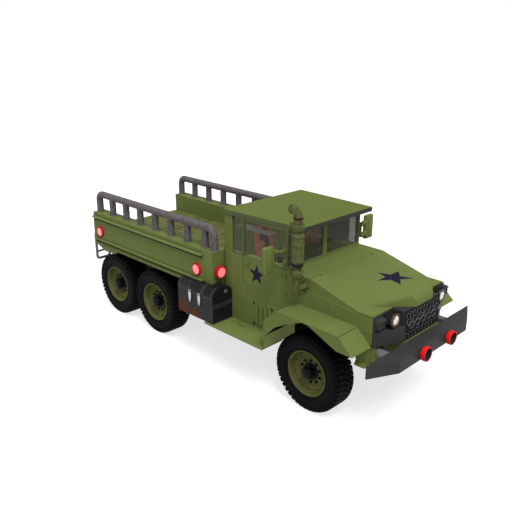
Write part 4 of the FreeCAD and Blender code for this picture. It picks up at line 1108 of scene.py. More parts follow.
# ------------------------------------------------------------------ panels that keep their CAD shape
@dataclass
class Panels:
    """Sheet-metal and cast parts whose CAD shape is right, with their edges rounded.

    Attributes:
        glazing: For some nodes, the faces behind the flush glass, painted darker with a glow of their own.
        bodies: Body of each node that doesn't ride on the chassis.
        groups: Nodes, slot, name of the palette's material, width of the rounded edges and largest angle in
            degrees that is shaded smooth.
    """

    palette: Palette
    glazing: dict[str, Callable[[bpy.types.MeshPolygon], bool]] = field(default_factory=lambda: {
        "roof": lambda f: abs(f.normal.z) < 0.6 or f.center.z < 2.435,
        "windscreen_frame": lambda f: f.center.z > 1.885 and abs(f.center.y) > 0.06 and f.center.y < 0.79,
        "door_left": lambda f: f.center.z > SILL_Z, "door_right": lambda f: f.center.z > SILL_Z})

    bodies: dict[str, str] = field(default_factory=lambda: {"hood": "bonnet", "chest_lid": "lid",
                                                            "knuckle_left": "steering_left",
                                                            "knuckle_right": "steering_right",
                                                            "steering_wheel": "steering_hand_wheel",
                                                            "door_left": "door_left_body",
                                                            "door_right": "door_right_body"})
    groups: tuple[tuple[str, Slot, str, float, float], ...] = (
        ("cab_tub cab_back cowl windscreen_frame", Slot.OLIVE, "olive", 0.004, 14),
        ("engine_sides", Slot.OLIVE, "olive", 0.003, 14),
        ("fender_left fender_right", Slot.OLIVE, "olive", 0.002, 14),
        ("headboard", Slot.OLIVE, "olive", 0.006, 14),
        ("running_boards", Slot.OLIVE, "board_olive", 0.004, 14),
        ("roof", Slot.OLIVE, "roof_olive", 0.003, 14),
        ("hood", Slot.OLIVE, "hood_olive", 0, 18),
        ("lamp_panels", Slot.DARK_GREY, "grey", 0.004, 18),
        ("bumper", Slot.DARK_GREY, "grey", 0.008, 18),
        ("chest_body", Slot.CHARCOAL, "chest", 0.006, 18),
        ("chest_lid", Slot.CHARCOAL, "chest", 0.004, 36),
        ("bed_rails", Slot.PIPE_PAINT, "pipe", 0, 36),
        ("fuel_tank", Slot.DARK_STEEL, "chassis", 0.006, 36),
        ("chassis_frame", Slot.DARK_STEEL, "chassis", 0.003, 18),
        ("leaf_springs", Slot.DARK_STEEL, "chassis", 0.002, 18),
        ("driveline", Slot.DARK_STEEL, "chassis", 0.004, 36),
        ("front_axle mid_axle rear_axle", Slot.IRON, "cast", 0.003, 36),
        ("engine", Slot.IRON, "cast", 0.010, 18),
        ("knuckle_left knuckle_right", Slot.IRON, "cast", 0.003, 18),
        ("radiator", Slot.BRIGHT_STEEL, "chassis", 0.003, 18),
        # The dashboard takes the glowing inside olive: painted light.
        ("dashboard", Slot.BLACK_TRIM, "inside", 0.006, 18),
        ("steering_wheel", Slot.BLACK_TRIM, "trim", 0, 36),
        ("door_left door_right", Slot.OLIVE, "door_olive", 0.004, 18))

    def build(self) -> None:
        """Copy, round, dress and fix every panel."""
        for nodes, slot, material, bevel, smooth in self.groups:
            for node in nodes.split():
                piece = Piece.from_node(node, bevel, smooth=smooth)
                piece.paint(getattr(self.palette, material), self.palette.glazed, self.palette.visor)
                if node in self.glazing:
                    # Faces behind the glass take the darker glowing olive: painted dimming and painted light.
                    piece.paint_faces(1, self.glazing[node])
                # The roof's front faces take the near-black paint: painted shade.
                if node == "roof":
                    piece.paint_faces(2, lambda f: f.normal.x > 0.6 and f.center.z > 2.42)
                piece.fix(self.bodies.get(node, ROOT), slot, node)


@dataclass
class Panes:
    """Window panes, which keep their CAD nodes."""

    palette: Palette

    def build(self) -> None:
        """Dress the panes in glass."""
        for node in ("cab_glass", "door_glass_left", "door_glass_right"):
            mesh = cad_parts[node].data
            mesh.materials.clear()
            mesh.materials.append(self.palette.glass)


# ------------------------------------------------------------------ helpers for paired pieces
def bar(name: str, start: Point, end: Point, width: float, depth: float, up: Point,
        bevel: float = 0.001) -> Piece:
    """Flat bar between two points.

    Args:
        name: Piece's name.
        start: Middle of one end.
        end: Middle of the other end.
        width: Size across the bar.
        depth: Size along the up direction.
        up: Direction the bar's flat face looks along.
        bevel: Width of its rounded edges.

    Returns:
        The piece.
    """
    first, last = Vector(start), Vector(end)
    along = (last - first).normalized()
    rise = Vector(up)
    rise = (rise - along * rise.dot(along)).normalized()
    turned = Matrix((along, rise.cross(along), rise)).transposed().to_4x4()
    length = (last - first).length
    piece = Piece.block(name, (0, -width / 2, -depth / 2), (length, width / 2, depth / 2), bevel, 1)
    return piece.moved(Matrix.Translation(first) @ turned)


def twin(piece: Piece) -> Piece:
    """Join a right-hand piece with its mirror image."""
    return piece.join([piece.copy(piece.obj.name + "_twin", MIRROR)])


def pair(piece: Piece, name: str, body: str, slot: Slot, *nodes: str) -> None:
    """Fix a right-hand piece and its mirror image; {side} in a name stands for the side."""
    left = piece.copy(name + "_left", MIRROR)
    piece.obj.name = piece.obj.data.name = name + "_right"
    for side, one in (("right", piece), ("left", left)):
        one.fix(body.format(side=side), slot, *[node.format(side=side) for node in nodes])


# ------------------------------------------------------------------ front end
@dataclass
class Headlamps:
    """Round lamps in their recesses, each with a foot, clamps and a small marker beside it.

    Attributes:
        y: Place of the right lamp across the truck.
        z: Height of the lamps' axis.
        back: X of the bowl's back.
        front: X of the glass.
        body_r: Radius of the bowl.
        rim_r: Radius of the retaining ring.
        lens_r: Radius of the glass.
    """

    palette: Palette
    y: float = -0.567
    z: float = 1.545
    back: float = 2.894
    front: float = 3.034
    body_r: float = 0.082
    rim_r: float = 0.096
    lens_r: float = 0.064

    def turned(self, name: str, profile: Sequence[tuple[float, float]], steps: int = 48) -> Piece:
        """Piece turned about the lamp's axis; distances are X places."""
        return Piece.lathe(name, profile, (0, self.y, self.z), Axis.X, steps)

    def housing(self) -> Piece:
        """Black bowl with cooling grooves."""
        r, back = self.body_r, self.back
        profile = [(0.0, back), (0.030, back), (0.034, back + 0.004), (0.056, back + 0.006),
                   (0.072, back + 0.018), (r, back + 0.040)]
        for groove in range(4):
            x = back + 0.050 + groove * 0.014
            profile += [(r, x), (r - 0.004, x + 0.002), (r - 0.004, x + 0.006), (r, x + 0.008)]
        profile += [(r, 3.004), (self.lens_r, 3.006), (0.0, 3.006)]
        return self.turned("headlamp", profile).smooth(40)

    def rim(self) -> Piece:
        """Rolled retaining ring with its screws."""
        r, f = self.rim_r, self.front
        profile = [(self.body_r - 0.004, 3.000), (r - 0.002, 3.002), (r, 3.007), (r, 3.020),
                   (r - 0.005, f - 0.006), (r - 0.014, f - 0.002), (self.lens_r + 0.012, f - 0.001),
                   (self.lens_r + 0.004, f - 0.004), (self.lens_r + 0.001, f - 0.010),
                   (self.lens_r + 0.001, 3.000), (self.body_r - 0.004, 3.000)]
        ring = self.turned("headlamp_rim", profile).smooth(40)
        places = [((f - 0.003, self.y + math.cos(a) * (r - 0.017), self.z + math.sin(a) * (r - 0.017)), AHEAD)
                  for a in (0.52, 2.62, 4.71)]
        return ring.join([Fasteners.spread("screws", Fasteners(0.011, 0.004).rivet(), places)])

    def lens(self) -> Piece:
        """Domed glass."""
        r, f = self.lens_r, self.front
        profile = [(0.0, f), (r * 0.35, f - 0.0015), (r * 0.7, f - 0.0055), (r * 0.92, f - 0.011),
                   (r + 0.002, f - 0.017), (r + 0.002, f - 0.024), (0.0, f - 0.024)]
        return self.turned("headlamp_glass", profile).smooth(50)

    def clamp(self, start: float, sweep: float) -> Piece:
        """Curved clamp round the bowl, from one angle through a sweep."""
        inner, outer = 0.103, 0.134
        corners = [(2.934, inner), (2.990, inner), (2.990, outer - 0.004), (2.982, outer), (2.942, outer),
                   (2.934, outer - 0.004)]
        points = [(x, self.y, self.z + r) for x, r in corners]
        piece = Piece.trace("clamp", points)
        bpy.ops.mesh.select_all(action="SELECT")
        bpy.ops.mesh.edge_face_add()
        bpy.ops.mesh.spin(steps=10, angle=math.radians(sweep), center=(0, self.y, self.z), axis=AHEAD)
        piece.sound()
        spot = shift(0, self.y, self.z)
        return piece.moved(spot @ turn(start, Axis.X) @ spot.inverted())

    def foot(self) -> Piece:
        """Swivel foot and its clamp bolts."""
        y = self.y
        base = Piece.block("foot", (2.926, y - 0.036, 1.4285), (2.980, y + 0.036, 1.438), 0.003)
        neck = Piece.block("neck", (2.936, y - 0.020, 1.436), (2.970, y + 0.020, 1.472), 0.005)
        neck.on_faces(lambda f: f.normal.z > 0.9, bpy.ops.transform.resize, value=(1.2, 1.5, 1))
        spots = [((x, y + d, 1.438), UP) for x in (2.937, 2.969) for d in (-0.027, 0.027)]
        bolts = Fasteners.spread("bolts", Fasteners(0.012, 0.006).bolt(), spots)
        clamps = [self.clamp(10, 62), self.clamp(96, 78), self.clamp(-62, 44)]
        return joined("headlamp_foot", [base, neck, bolts, *clamps]).smooth(32)

    def marker(self) -> Piece:
        """Small hooded marker lamp outboard of the headlamp."""
        low, high = (2.892, -0.842, 1.474), (2.962, -0.692, 1.602)
        box = Piece.block("marker_box", low, high, 0.007, 2)
        open_mesh(box.obj)
        pick_faces(box.obj, lambda f: f.normal.x > 0.95)
        bpy.ops.mesh.inset(thickness=0.007, depth=0)
        bpy.ops.mesh.inset(thickness=0.002, depth=-0.010)
        close_mesh()
        visor = bar("visor", (2.956, -0.7670, 1.592), (2.986, -0.7670, 1.585), 0.120, 0.005, UP)
        return joined("marker_box", [box, visor]).smooth(32)

    def build(self) -> None:
        """Model the right-hand lamp and mirror it."""
        p = self.palette
        twin(self.housing()).paint(p.grey).fix(ROOT, Slot.DARK_GREY, "headlamps")
        twin(self.rim()).paint(p.lamp_ring).fix(ROOT, Slot.CHROME)
        twin(self.lens()).paint(p.lamp_glass).fix(ROOT, Slot.LAMP_GLASS)
        twin(self.foot()).paint(p.trim).fix(ROOT, Slot.BLACK_TRIM)
        twin(self.marker()).paint(p.grey).fix(ROOT, Slot.DARK_GREY)


@dataclass
class Grille:
    """Guard with a row of slanted slots, two rows of hexagons and a lower row of slots.

    Attributes:
        half: Half of the guard's width.
        low: Height of its lower edge.
        top: Height of its upper edge.
        face: X of its front.
        columns: Slots in a row.
        hexes: Hexagons in the upper row.
        hex_r: A hexagon's radius.
    """

    palette: Palette
    half: float = 0.411
    low: float = 1.218
    top: float = 1.627
    face: float = 3.084
    columns: int = 10
    hexes: int = 6
    hex_r: float = 0.062

    def bars(self) -> Piece:
        """Rim and cross bars of the guard on its back plate."""
        h, f = self.half, self.face
        plate = Piece.block("grille_plate", (3.0635, -h, self.low), (3.067, h, self.top), 0.0012, 1)
        pieces = [plate]
        for z, tall in ((self.top - 0.009, 0.018), (1.521, 0.022), (1.347, 0.030), (self.low + 0.012, 0.024)):
            pieces.append(Piece.block("bar", (3.066, -h, z - tall / 2), (f - 0.006, h, z + tall / 2), 0.003))
        for side in (-1, 1):
            pieces.append(Piece.block("stile", (3.066, side * (h - 0.015), self.low),
                                      (f - 0.006, side * h, self.top), 0.003))
        return joined("grille", pieces).smooth(32)

    def fins(self, low: float, top: float, lean: float) -> tuple[Piece, Piece]:
        """One row of slanted fins and the bright edges on them."""
        pitch = 2 * self.half / self.columns
        rear, edge = [], []
        for n in range(self.columns + 1):
            y = -self.half + 0.008 + n * (2 * self.half - 0.016) / self.columns
            reach = lean if 0 < n < self.columns else 0
            rear.append(bar("fin", (3.073, y - reach, low), (3.073, y + reach, top), 0.013, 0.014, AHEAD,
                            0.002))
            edge.append(bar("edge", (3.0815, y - reach - 0.004, low), (3.0815, y + reach - 0.004, top),
                            0.0055, 0.004, AHEAD, 0.001))
        for n in range(self.columns):
            y = -self.half + (n + 0.5) * pitch
            edge.append(bar("tick", (3.080, y - 0.022, top - 0.006), (3.080, y + 0.020, top - 0.020), 0.005,
                            0.004, AHEAD))
        return joined("fins", rear), joined("fin_edges", edge)

    def comb(self) -> Piece:
        """Two staggered rows of hexagonal rings."""
        pitch = 2 * self.half / self.hexes
        cells = []
        for row, z in enumerate((1.4725, 1.4035)):
            for n in range(self.hexes - row % 2):
                y = -self.half + (n + 0.5 + 0.5 * (row % 2)) * pitch
                cells.append((y, z))
        bpy.ops.object.select_all(action="DESELECT")
        bpy.ops.mesh.primitive_circle_add(vertices=6, radius=self.hex_r, fill_type="NGON",
                                          location=(3.070, 0, 0), rotation=(0, math.pi / 2, 0))
        cell = Piece(bpy.context.object).settle("cell").moved(Matrix.Scale(0.78, 4, UP))
        open_mesh(cell.obj)
        bpy.ops.mesh.inset(thickness=0.0045, depth=0)
        pick_faces(cell.obj, lambda f: len(f.verts) == 6)
        bpy.ops.mesh.delete(type="FACE")
        bpy.ops.mesh.select_all(action="SELECT")
        bpy.ops.mesh.extrude_region_move(TRANSFORM_OT_translate={"value": (0.0125, 0, 0)})
        cell.sound()
        cell.modify("BEVEL", width=0.0014, segments=1, limit_method="ANGLE", angle_limit=math.radians(50))
        rings = [cell.copy("cell", shift(0, y, z)) for y, z in cells]
        bpy.data.objects.remove(cell.obj)
        return joined("grille_comb", rings)

    def build(self) -> None:
        """Model and dress the guard."""
        p = self.palette
        self.bars().paint(p.trim).fix(ROOT, Slot.BLACK_TRIM, "grille")
        upper, upper_edges = self.fins(1.532, 1.612, 0.012)
        lower, lower_edges = self.fins(1.242, 1.332, 0.010)
        joined("grille_fins", [upper, lower]).paint(p.trim).fix(ROOT, Slot.BLACK_TRIM)
        joined("grille_edges", [upper_edges, lower_edges]).paint(p.grille_edge).fix(ROOT, Slot.CHROME)
        self.comb().paint(p.grille_edge).fix(ROOT, Slot.CHROME)


@dataclass
class Bumper:
    """Tow rings, bumper bolts and the two struts behind the bumper.

    Attributes:
        ring_y: Place of the right ring across the truck.
        ring_z: Height of the rings' axis.
        strut_y: Place of the right strut across the truck.
        strut_z: Height of the struts' axis.
    """

    palette: Palette
    ring_y: float = -0.320
    ring_z: float = 1.108
    strut_y: float = -0.722
    strut_z: float = 1.112

    def ring(self) -> Piece:
        """Red ring on its boss, with painted shade inside."""
        profile = [(0.0, 3.3315), (0.0815, 3.3315), (0.0840, 3.3340), (0.0840, 3.3770), (0.0860, 3.3815),
                   (0.0905, 3.3820), (0.0955, 3.3815), (0.0980, 3.3780), (0.0980, 3.3260), (0.0950, 3.3225),
                   (0.0800, 3.3215), (0.0700, 3.3190), (0.0700, 3.3030), (0.0740, 3.2990), (0.0, 3.2990)]
        ring = Piece.lathe("tow_rings", profile, (0, self.ring_y, self.ring_z), Axis.X, 56).smooth(38)
        ring.paint(self.palette.red, self.palette.ring_floor)

        def inside(face: bpy.types.MeshPolygon) -> bool:
            """True on the floor and inner wall of the ring, which take the painted shade."""
            reach = math.hypot(face.center.y - self.ring_y, face.center.z - self.ring_z)
            return reach < 0.0845 and 3.331 < face.center.x < 3.3765
        return ring.paint_faces(1, inside)

    def strut(self) -> Piece:
        """Round strut with collars from the bumper's back to a bracket."""
        y, z = self.strut_y, self.strut_z
        profile = [(0.0, 2.716), (0.052, 2.716), (0.056, 2.720), (0.056, 2.760), (0.060, 2.764),
                   (0.060, 2.800), (0.056, 2.804), (0.056, 3.056), (0.060, 3.060), (0.060, 3.084),
                   (0.0, 3.084)]
        return Piece.lathe("strut", profile, (0, y, z), Axis.X, 40).smooth(38)

    def bracket(self) -> Piece:
        """Plate from the frame rail to the strut, with its gusset and bolts."""
        y, z = self.strut_y, self.strut_z
        plate = Piece.block("strut_bracket", (2.700, y - 0.055, z - 0.060), (2.716, -0.352, z + 0.060), 0.003)
        rib = Piece.slab("rib", [(2.640, -0.355, z), (2.704, -0.355, z), (2.704, y - 0.02, z)], (0, 0, 0.008),
                         0.001, 1)
        spots = [((2.716, y + 0.02 + n * 0.09, z + d), AHEAD) for n in (1, 2, 3) for d in (-0.036, 0.036)]
        return joined("strut_bracket", [plate, rib, Fasteners.spread("bolts", Fasteners(0.020, 0.009).bolt(),
                                                                     spots)])

    def bolts(self) -> Piece:
        """Carriage-bolt heads on the bumper's face, two beside each ring and two over each frame horn."""
        spots = [((3.2975, -y, z), AHEAD) for y in (0.455, 0.555) for z in (1.065, 1.155)]
        return Fasteners.spread("bumper_bolts", Fasteners(0.024).rivet(), spots)

    def build(self) -> None:
        """Model and dress the pieces."""
        p = self.palette
        twin(self.ring()).fix(ROOT, Slot.SIGNAL_RED, "tow_rings")
        twin(self.strut()).paint(p.strut).fix(ROOT, Slot.BRIGHT_STEEL)
        twin(self.bracket()).paint(p.chassis).fix(ROOT, Slot.DARK_STEEL)
        twin(self.bolts()).paint(p.grey).fix(ROOT, Slot.DARK_GREY)


@dataclass
class MarkerLamps:
    """Six round red lamps with flared rims on the bed's sides, front and back.

    Attributes:
        depth: Height of a lamp over its panel.
        base_r: Radius of the rim's foot.
        lens_r: Radius of the lens.
        stations: Place and direction of each right-hand lamp.
    """

    palette: Palette
    depth: float = 0.040
    base_r: float = 0.106
    lens_r: float = 0.078
    stations: tuple[tuple[tuple[float, float, float], tuple[float, float, float]], ...] = (
        ((-0.246, -1.077, 1.507), OUT), ((-3.019, -1.077, 1.507), OUT),
        ((0.160, -0.960, 1.532), AHEAD), ((-3.227, -0.958, 1.560), (-1, 0, 0)))

    def rim(self) -> Piece:
        """Flared rim made along +Z."""
        r, b, d = self.lens_r, self.base_r, self.depth
        profile = [(0.0, 0.0005), (b - 0.004, 0.0005), (b - 0.001, 0.004), (b - 0.003, 0.009),
                   (r + 0.012, d - 0.008), (r + 0.008, d - 0.003), (r + 0.004, d - 0.002), (r, d - 0.004),
                   (r - 0.001, d - 0.012), (0.0, d - 0.012)]
        return Piece.lathe("marker_rim", profile, ORIGIN, Axis.Z, 56).smooth(40)

    def lens(self) -> Piece:
        """Domed lens with concentric steps."""
        r, d = self.lens_r - 0.0005, self.depth
        profile = [(0.0, d - 0.0015), (r * 0.28, d - 0.002), (r * 0.30, d - 0.0035), (r * 0.60, d - 0.0045),
                   (r * 0.62, d - 0.006), (r * 0.93, d - 0.0075), (r, d - 0.010), (r, d - 0.014),
                   (0.0, d - 0.014)]
        return Piece.lathe("marker_lens", profile, ORIGIN, Axis.Z, 56).smooth(40)

    def build(self) -> None:
        """Set a rim and a lens at each station and mirror them."""
        p = self.palette
        for name, master, paint, slot, nodes in (("marker_rims", self.rim(), p.lens_rim, Slot.SIGNAL_RED,
                                                  ("marker_lamps",)), ("marker_lenses", self.lens(), p.lens,
                                                                       Slot.LENS, ())):
            copies = [master.copy(name, facing(place, out)) for place, out in self.stations]
            if slot is Slot.SIGNAL_RED:
                copies.append(Piece.rod("bucket", (0.1105, -0.960, 1.532), (0.1605, -0.960, 1.532), 0.084,
                                        bevel=0.003))
            bpy.data.objects.remove(master.obj)
            twin(joined(name, copies)).paint(paint).fix(ROOT, slot, *nodes)


@dataclass
class Apron:
    """Sheet under the grille and lamps: a lip, a front wall, side walls with a foot flange.

    Attributes:
        front: X of the front wall.
        side: Distance of the side walls from the truck's middle.
        low: Height of the lower edge.
        top: Height of the upper edge.
    """

    palette: Palette
    front: float = 2.878
    side: float = 0.844
    low: float = 0.952
    top: float = 1.2145

    def lip(self) -> Piece:
        """Folded strip along the bottom of the guard."""
        outline = [(3.050, -0.424, 1.2145), (3.086, -0.424, 1.2145), (3.086, -0.424, 1.196),
                   (3.080, -0.424, 1.196), (3.080, -0.424, 1.208), (3.050, -0.424, 1.208)]
        return Piece.slab("lip", outline, (0, 0.848, 0), 0.0015, 1)

    def walls(self) -> Piece:
        """Front wall and the two side walls, folded from one sheet, with pressed ribs."""
        s, f = self.side, self.front
        sheet = 0.006
        wall = Piece.block("wall", (f - sheet, -s, self.low), (f, 0, self.top), 0.0015, 1)
        cheek = Piece.slab("cheek", [(2.560, -s, self.top), (f, -s, self.top), (f, -s, self.low),
                                     (2.645, -s, self.low)], (0, sheet, 0), 0.0015, 1)
        flange = Piece.slab("flange", [(2.645, -s, self.low), (f, -s, self.low),
                                       (f - 0.03, -s - 0.105, self.low - 0.012),
                                       (2.690, -s - 0.105, self.low - 0.012)], (0, 0, 0.006), 0.0015, 1)
        ribs = [Piece.block("rib", (f - 0.001, -s + 0.06 + n * 0.26, self.low + 0.03),
                            (f + 0.006, -s + 0.075 + n * 0.26, self.top - 0.05), 0.004) for n in (0, 2)]
        sleeve = [Piece.block("sleeve", (f, -0.4345, 1.020), (3.262, -0.4310, 1.2035), 0.001, 1),
                  Piece.block("sleeve_top", (f, -0.4340, 1.2005), (3.262, -0.3500, 1.2035), 0.001, 1)]
        return joined("apron", [wall, cheek, flange, *sleeve, *ribs])

    def build(self) -> None:
        """Model and dress the sheet."""
        joined("valance_sheet", [self.lip(), twin(self.walls())]).smooth(25).paint(self.palette.olive).fix(
            ROOT, Slot.OLIVE, "valance")


# ------------------------------------------------------------------ cab
@dataclass
class SideLines:
    """Raised seam beads on the cab's and bonnet's sides, the vent panels and their bolts.

    Attributes:
        face: Distance of the side panels from the middle.
        cab_lines: Seams on the cab, each as the X and z of its two ends.
        nose_lines: Seams ahead of the doors, in the same form.
    """

    palette: Palette
    face: float = 0.846
    cab_lines: tuple[tuple[float, float, float, float], ...] = (
        (0.156, 1.846, 0.330, 1.842), (0.338, 1.222, 0.338, 1.840), (0.156, 1.214, 0.530, 1.214),
        (0.545, 1.214, 1.595, 1.214), (0.545, 1.214, 0.545, 1.410), (1.210, 0.840, 1.210, 1.205),
        (0.545, 1.405, 1.400, 1.405), (1.600, 1.222, 1.600, 1.840), (1.605, 1.650, 1.700, 1.650))
    nose_lines: tuple[tuple[float, float, float, float], ...] = (
        (1.700, 1.669, 2.574, 1.600), (1.814, 1.640, 1.814, 1.455), (2.235, 1.605, 2.235, 1.452),
        (2.574, 1.600, 2.640, 1.600), (2.690, 1.392, 2.875, 1.434))

    def lines(self, name: str, table: Sequence[tuple[float, float, float, float]]) -> Piece:
        """Beads for one table of seams."""
        y = -self.face - 0.0005
        return joined(name, [bar(name, (x0, y, z0), (x1, y, z1), 0.0075, 0.005, OUT, 0.0018)
                             for x0, z0, x1, z1 in table]).smooth(40)

    def vent(self) -> Piece:
        """Bolted vent panel with five pressed ribs."""
        y = -self.face
        pieces = [Piece.block("vent", (0.762, y - 0.0045, 0.834), (1.160, y + 0.001, 1.200), 0.0015, 1)]
        for n in range(4):
            x = 0.815 + n * 0.0915
            rib = Piece.block("rib", (x, y - 0.024, 0.868), (x + 0.056, y - 0.003, 1.166), 0.0025, 1)
            rib.on_faces(lambda f: f.normal.y < -0.95, bpy.ops.transform.resize, value=(0.2, 1, 0.94),
                         center_override=(x + 0.004, y, 1.017))
            pieces.append(rib)
        return joined("vent_panel", pieces).smooth(32)

    def vent_bolts(self) -> Piece:
        """Dark corner bolts of the vent panel."""
        spots = [((x, -self.face - 0.0045, z), OUT) for x in (0.782, 1.142) for z in (0.852, 1.182)]
        return Fasteners.spread("vent_bolts", Fasteners(0.026, 0.012).bolt(), spots)

    def rivets(self) -> Piece:
        """Rivets along the cab's rear corner."""
        spots = [((0.172, -self.face, 1.26 + n * 0.115), OUT) for n in range(9)]
        return Fasteners.spread("cab_rivets", Fasteners(0.012).rivet(), spots)

    def rocker(self) -> Piece:
        """Folded strip that closes the gap over the running board."""
        strip = Piece.block("rocker", (0.200, -self.face - 0.002, 0.7885), (1.354, -self.face + 0.006, 0.832),
                            0.001, 1)
        lip = Piece.block("lip", (0.200, -0.905, 0.7882), (1.354, -0.842, 0.7912), 0.0008, 1)
        return joined("rocker", [strip, lip])

    def splash(self) -> Piece:
        """Dark inner panel over each front tyre, with its pressed ribs and a hose."""
        pieces = [Piece.block("splash", (1.420, -0.512, 0.960), (2.560, -0.504, 1.430), 0.002, 1)]
        for n in range(6):
            pieces.append(Piece.block("rib", (1.520 + n * 0.19, -0.520, 0.990),
                                      (1.545 + n * 0.19, -0.508, 1.405), 0.004))
        pieces.append(Piece.block("shelf", (1.420, -0.640, 1.166), (2.560, -0.506, 1.172), 0.002, 1))
        pieces.append(Piece.pipe("hose", [(1.60, -0.560, 1.250), (1.95, -0.572, 1.300),
                                          (2.30, -0.560, 1.250)], 0.014, 0.06))
        return joined("splash_panels", pieces)

    def arch_wall(self) -> Piece:
        """Olive rear wall of the wheel arch, with its folded edge."""
        wall = Piece.block("arch_wall", (1.3560, -1.236, 0.790), (1.3710, -0.600, 0.985), 0.001, 1)
        fold = Piece.block("fold", (1.3560, -1.236, 0.975), (1.3740, -0.600, 0.985), 0.002, 1)
        return joined("arch_wall", [wall, fold])

    def arch_shade_boards(self) -> Piece:
        """Black boards behind and over the arch wall, with a ribbed cover: painted shade behind the arch."""
        pieces = [Piece.block("back", (1.336, -0.800, 0.700), (1.350, -0.150, 1.240), 0.002, 1),
                  # Black strip over the arch wall: painted shadow under the fender.
                  Piece.block("shadow", (1.3560, -1.230, 0.985), (1.3690, -0.850, 1.190), 0.0008, 1)]
        pieces += [Piece.block("rib", (1.348, -0.560, z), (1.362, -0.300, z + 0.020), 0.004)
                   for z in [0.800 + n * 0.045 for n in range(5)]]
        return joined("arch_shade_boards", pieces)

    def fender_folds(self) -> Piece:
        """Raised seam over the fender's flat top."""
        return bar("fender_seam", (2.432, -1.245, 1.4288), (2.432, -0.852, 1.4288), 0.008, 0.004, UP, 0.0012)

    def fender_crease(self) -> Piece:
        """Dark crease where the fender's top turns down."""
        return bar("fender_crease", (2.646, -1.245, 1.4262), (2.646, -0.852, 1.4262), 0.009, 0.0024, UP,
                   0.0006)

    def scratch(self) -> Piece:
        """Dark crack in the running board's paint."""
        points = [(0.364, -0.955), (0.438, -0.947), (0.499, -0.920), (0.604, -0.963), (0.673, -0.975),
                  (0.663, -0.900)]
        lines = [bar("crack", (*points[i], 0.7885), (*points[i + 1], 0.7885), 0.011, 0.002, UP, 0.0004)
                 for i in range(5)]
        return joined("board_crack", lines)

    def plugs(self) -> Piece:
        """Red caps on the splash panels' hoses."""
        caps = [Piece.rod("cap", (x, -0.510, 1.250), (x, -0.590, 1.250), 0.020, sides=24, bevel=0.003)
                for x in (1.60, 2.30)]
        caps.append(Piece.rod("cap", (1.346, -0.443, 0.830), (1.372, -0.443, 0.830), 0.014, sides=24,
                              bevel=0.002))
        return joined("hose_caps", caps)

    def build(self) -> None:
        """Model, mirror and dress the lines."""
        p = self.palette
        twin(self.rocker()).paint(p.olive).fix(ROOT, Slot.OLIVE)
        self.scratch().paint(p.shade).fix(ROOT, Slot.OLIVE)
        twin(self.splash()).paint(p.trim).fix(ROOT, Slot.BLACK_TRIM)
        # The arch wall takes the glowing inside olive: painted light over the shade under the fender.
        twin(self.arch_wall()).paint(p.inside).fix(ROOT, Slot.OLIVE)
        # The boards behind the arch are painted shade.
        twin(self.arch_shade_boards()).paint(p.trim).fix(ROOT, Slot.BLACK_TRIM)
        # The fender seam and the seam beads below take the lighter olive: painted highlight.
        twin(self.fender_folds()).paint(p.olive_edge).fix(ROOT, Slot.OLIVE)
        twin(self.fender_crease()).paint(p.shade).fix(ROOT, Slot.OLIVE)
        twin(self.plugs()).paint(p.red).fix(ROOT, Slot.SIGNAL_RED)
        twin(self.lines("cab_seams", self.cab_lines)).paint(p.olive_edge).fix(ROOT, Slot.OLIVE)
        twin(self.lines("nose_seams", self.nose_lines)).paint(p.olive_edge).fix(ROOT, Slot.OLIVE)
        twin(self.vent()).paint(p.olive).fix(ROOT, Slot.OLIVE)
        twin(self.vent_bolts()).paint(p.trim).fix(ROOT, Slot.BLACK_TRIM)
        twin(self.rivets()).paint(p.olive).fix(ROOT, Slot.OLIVE)


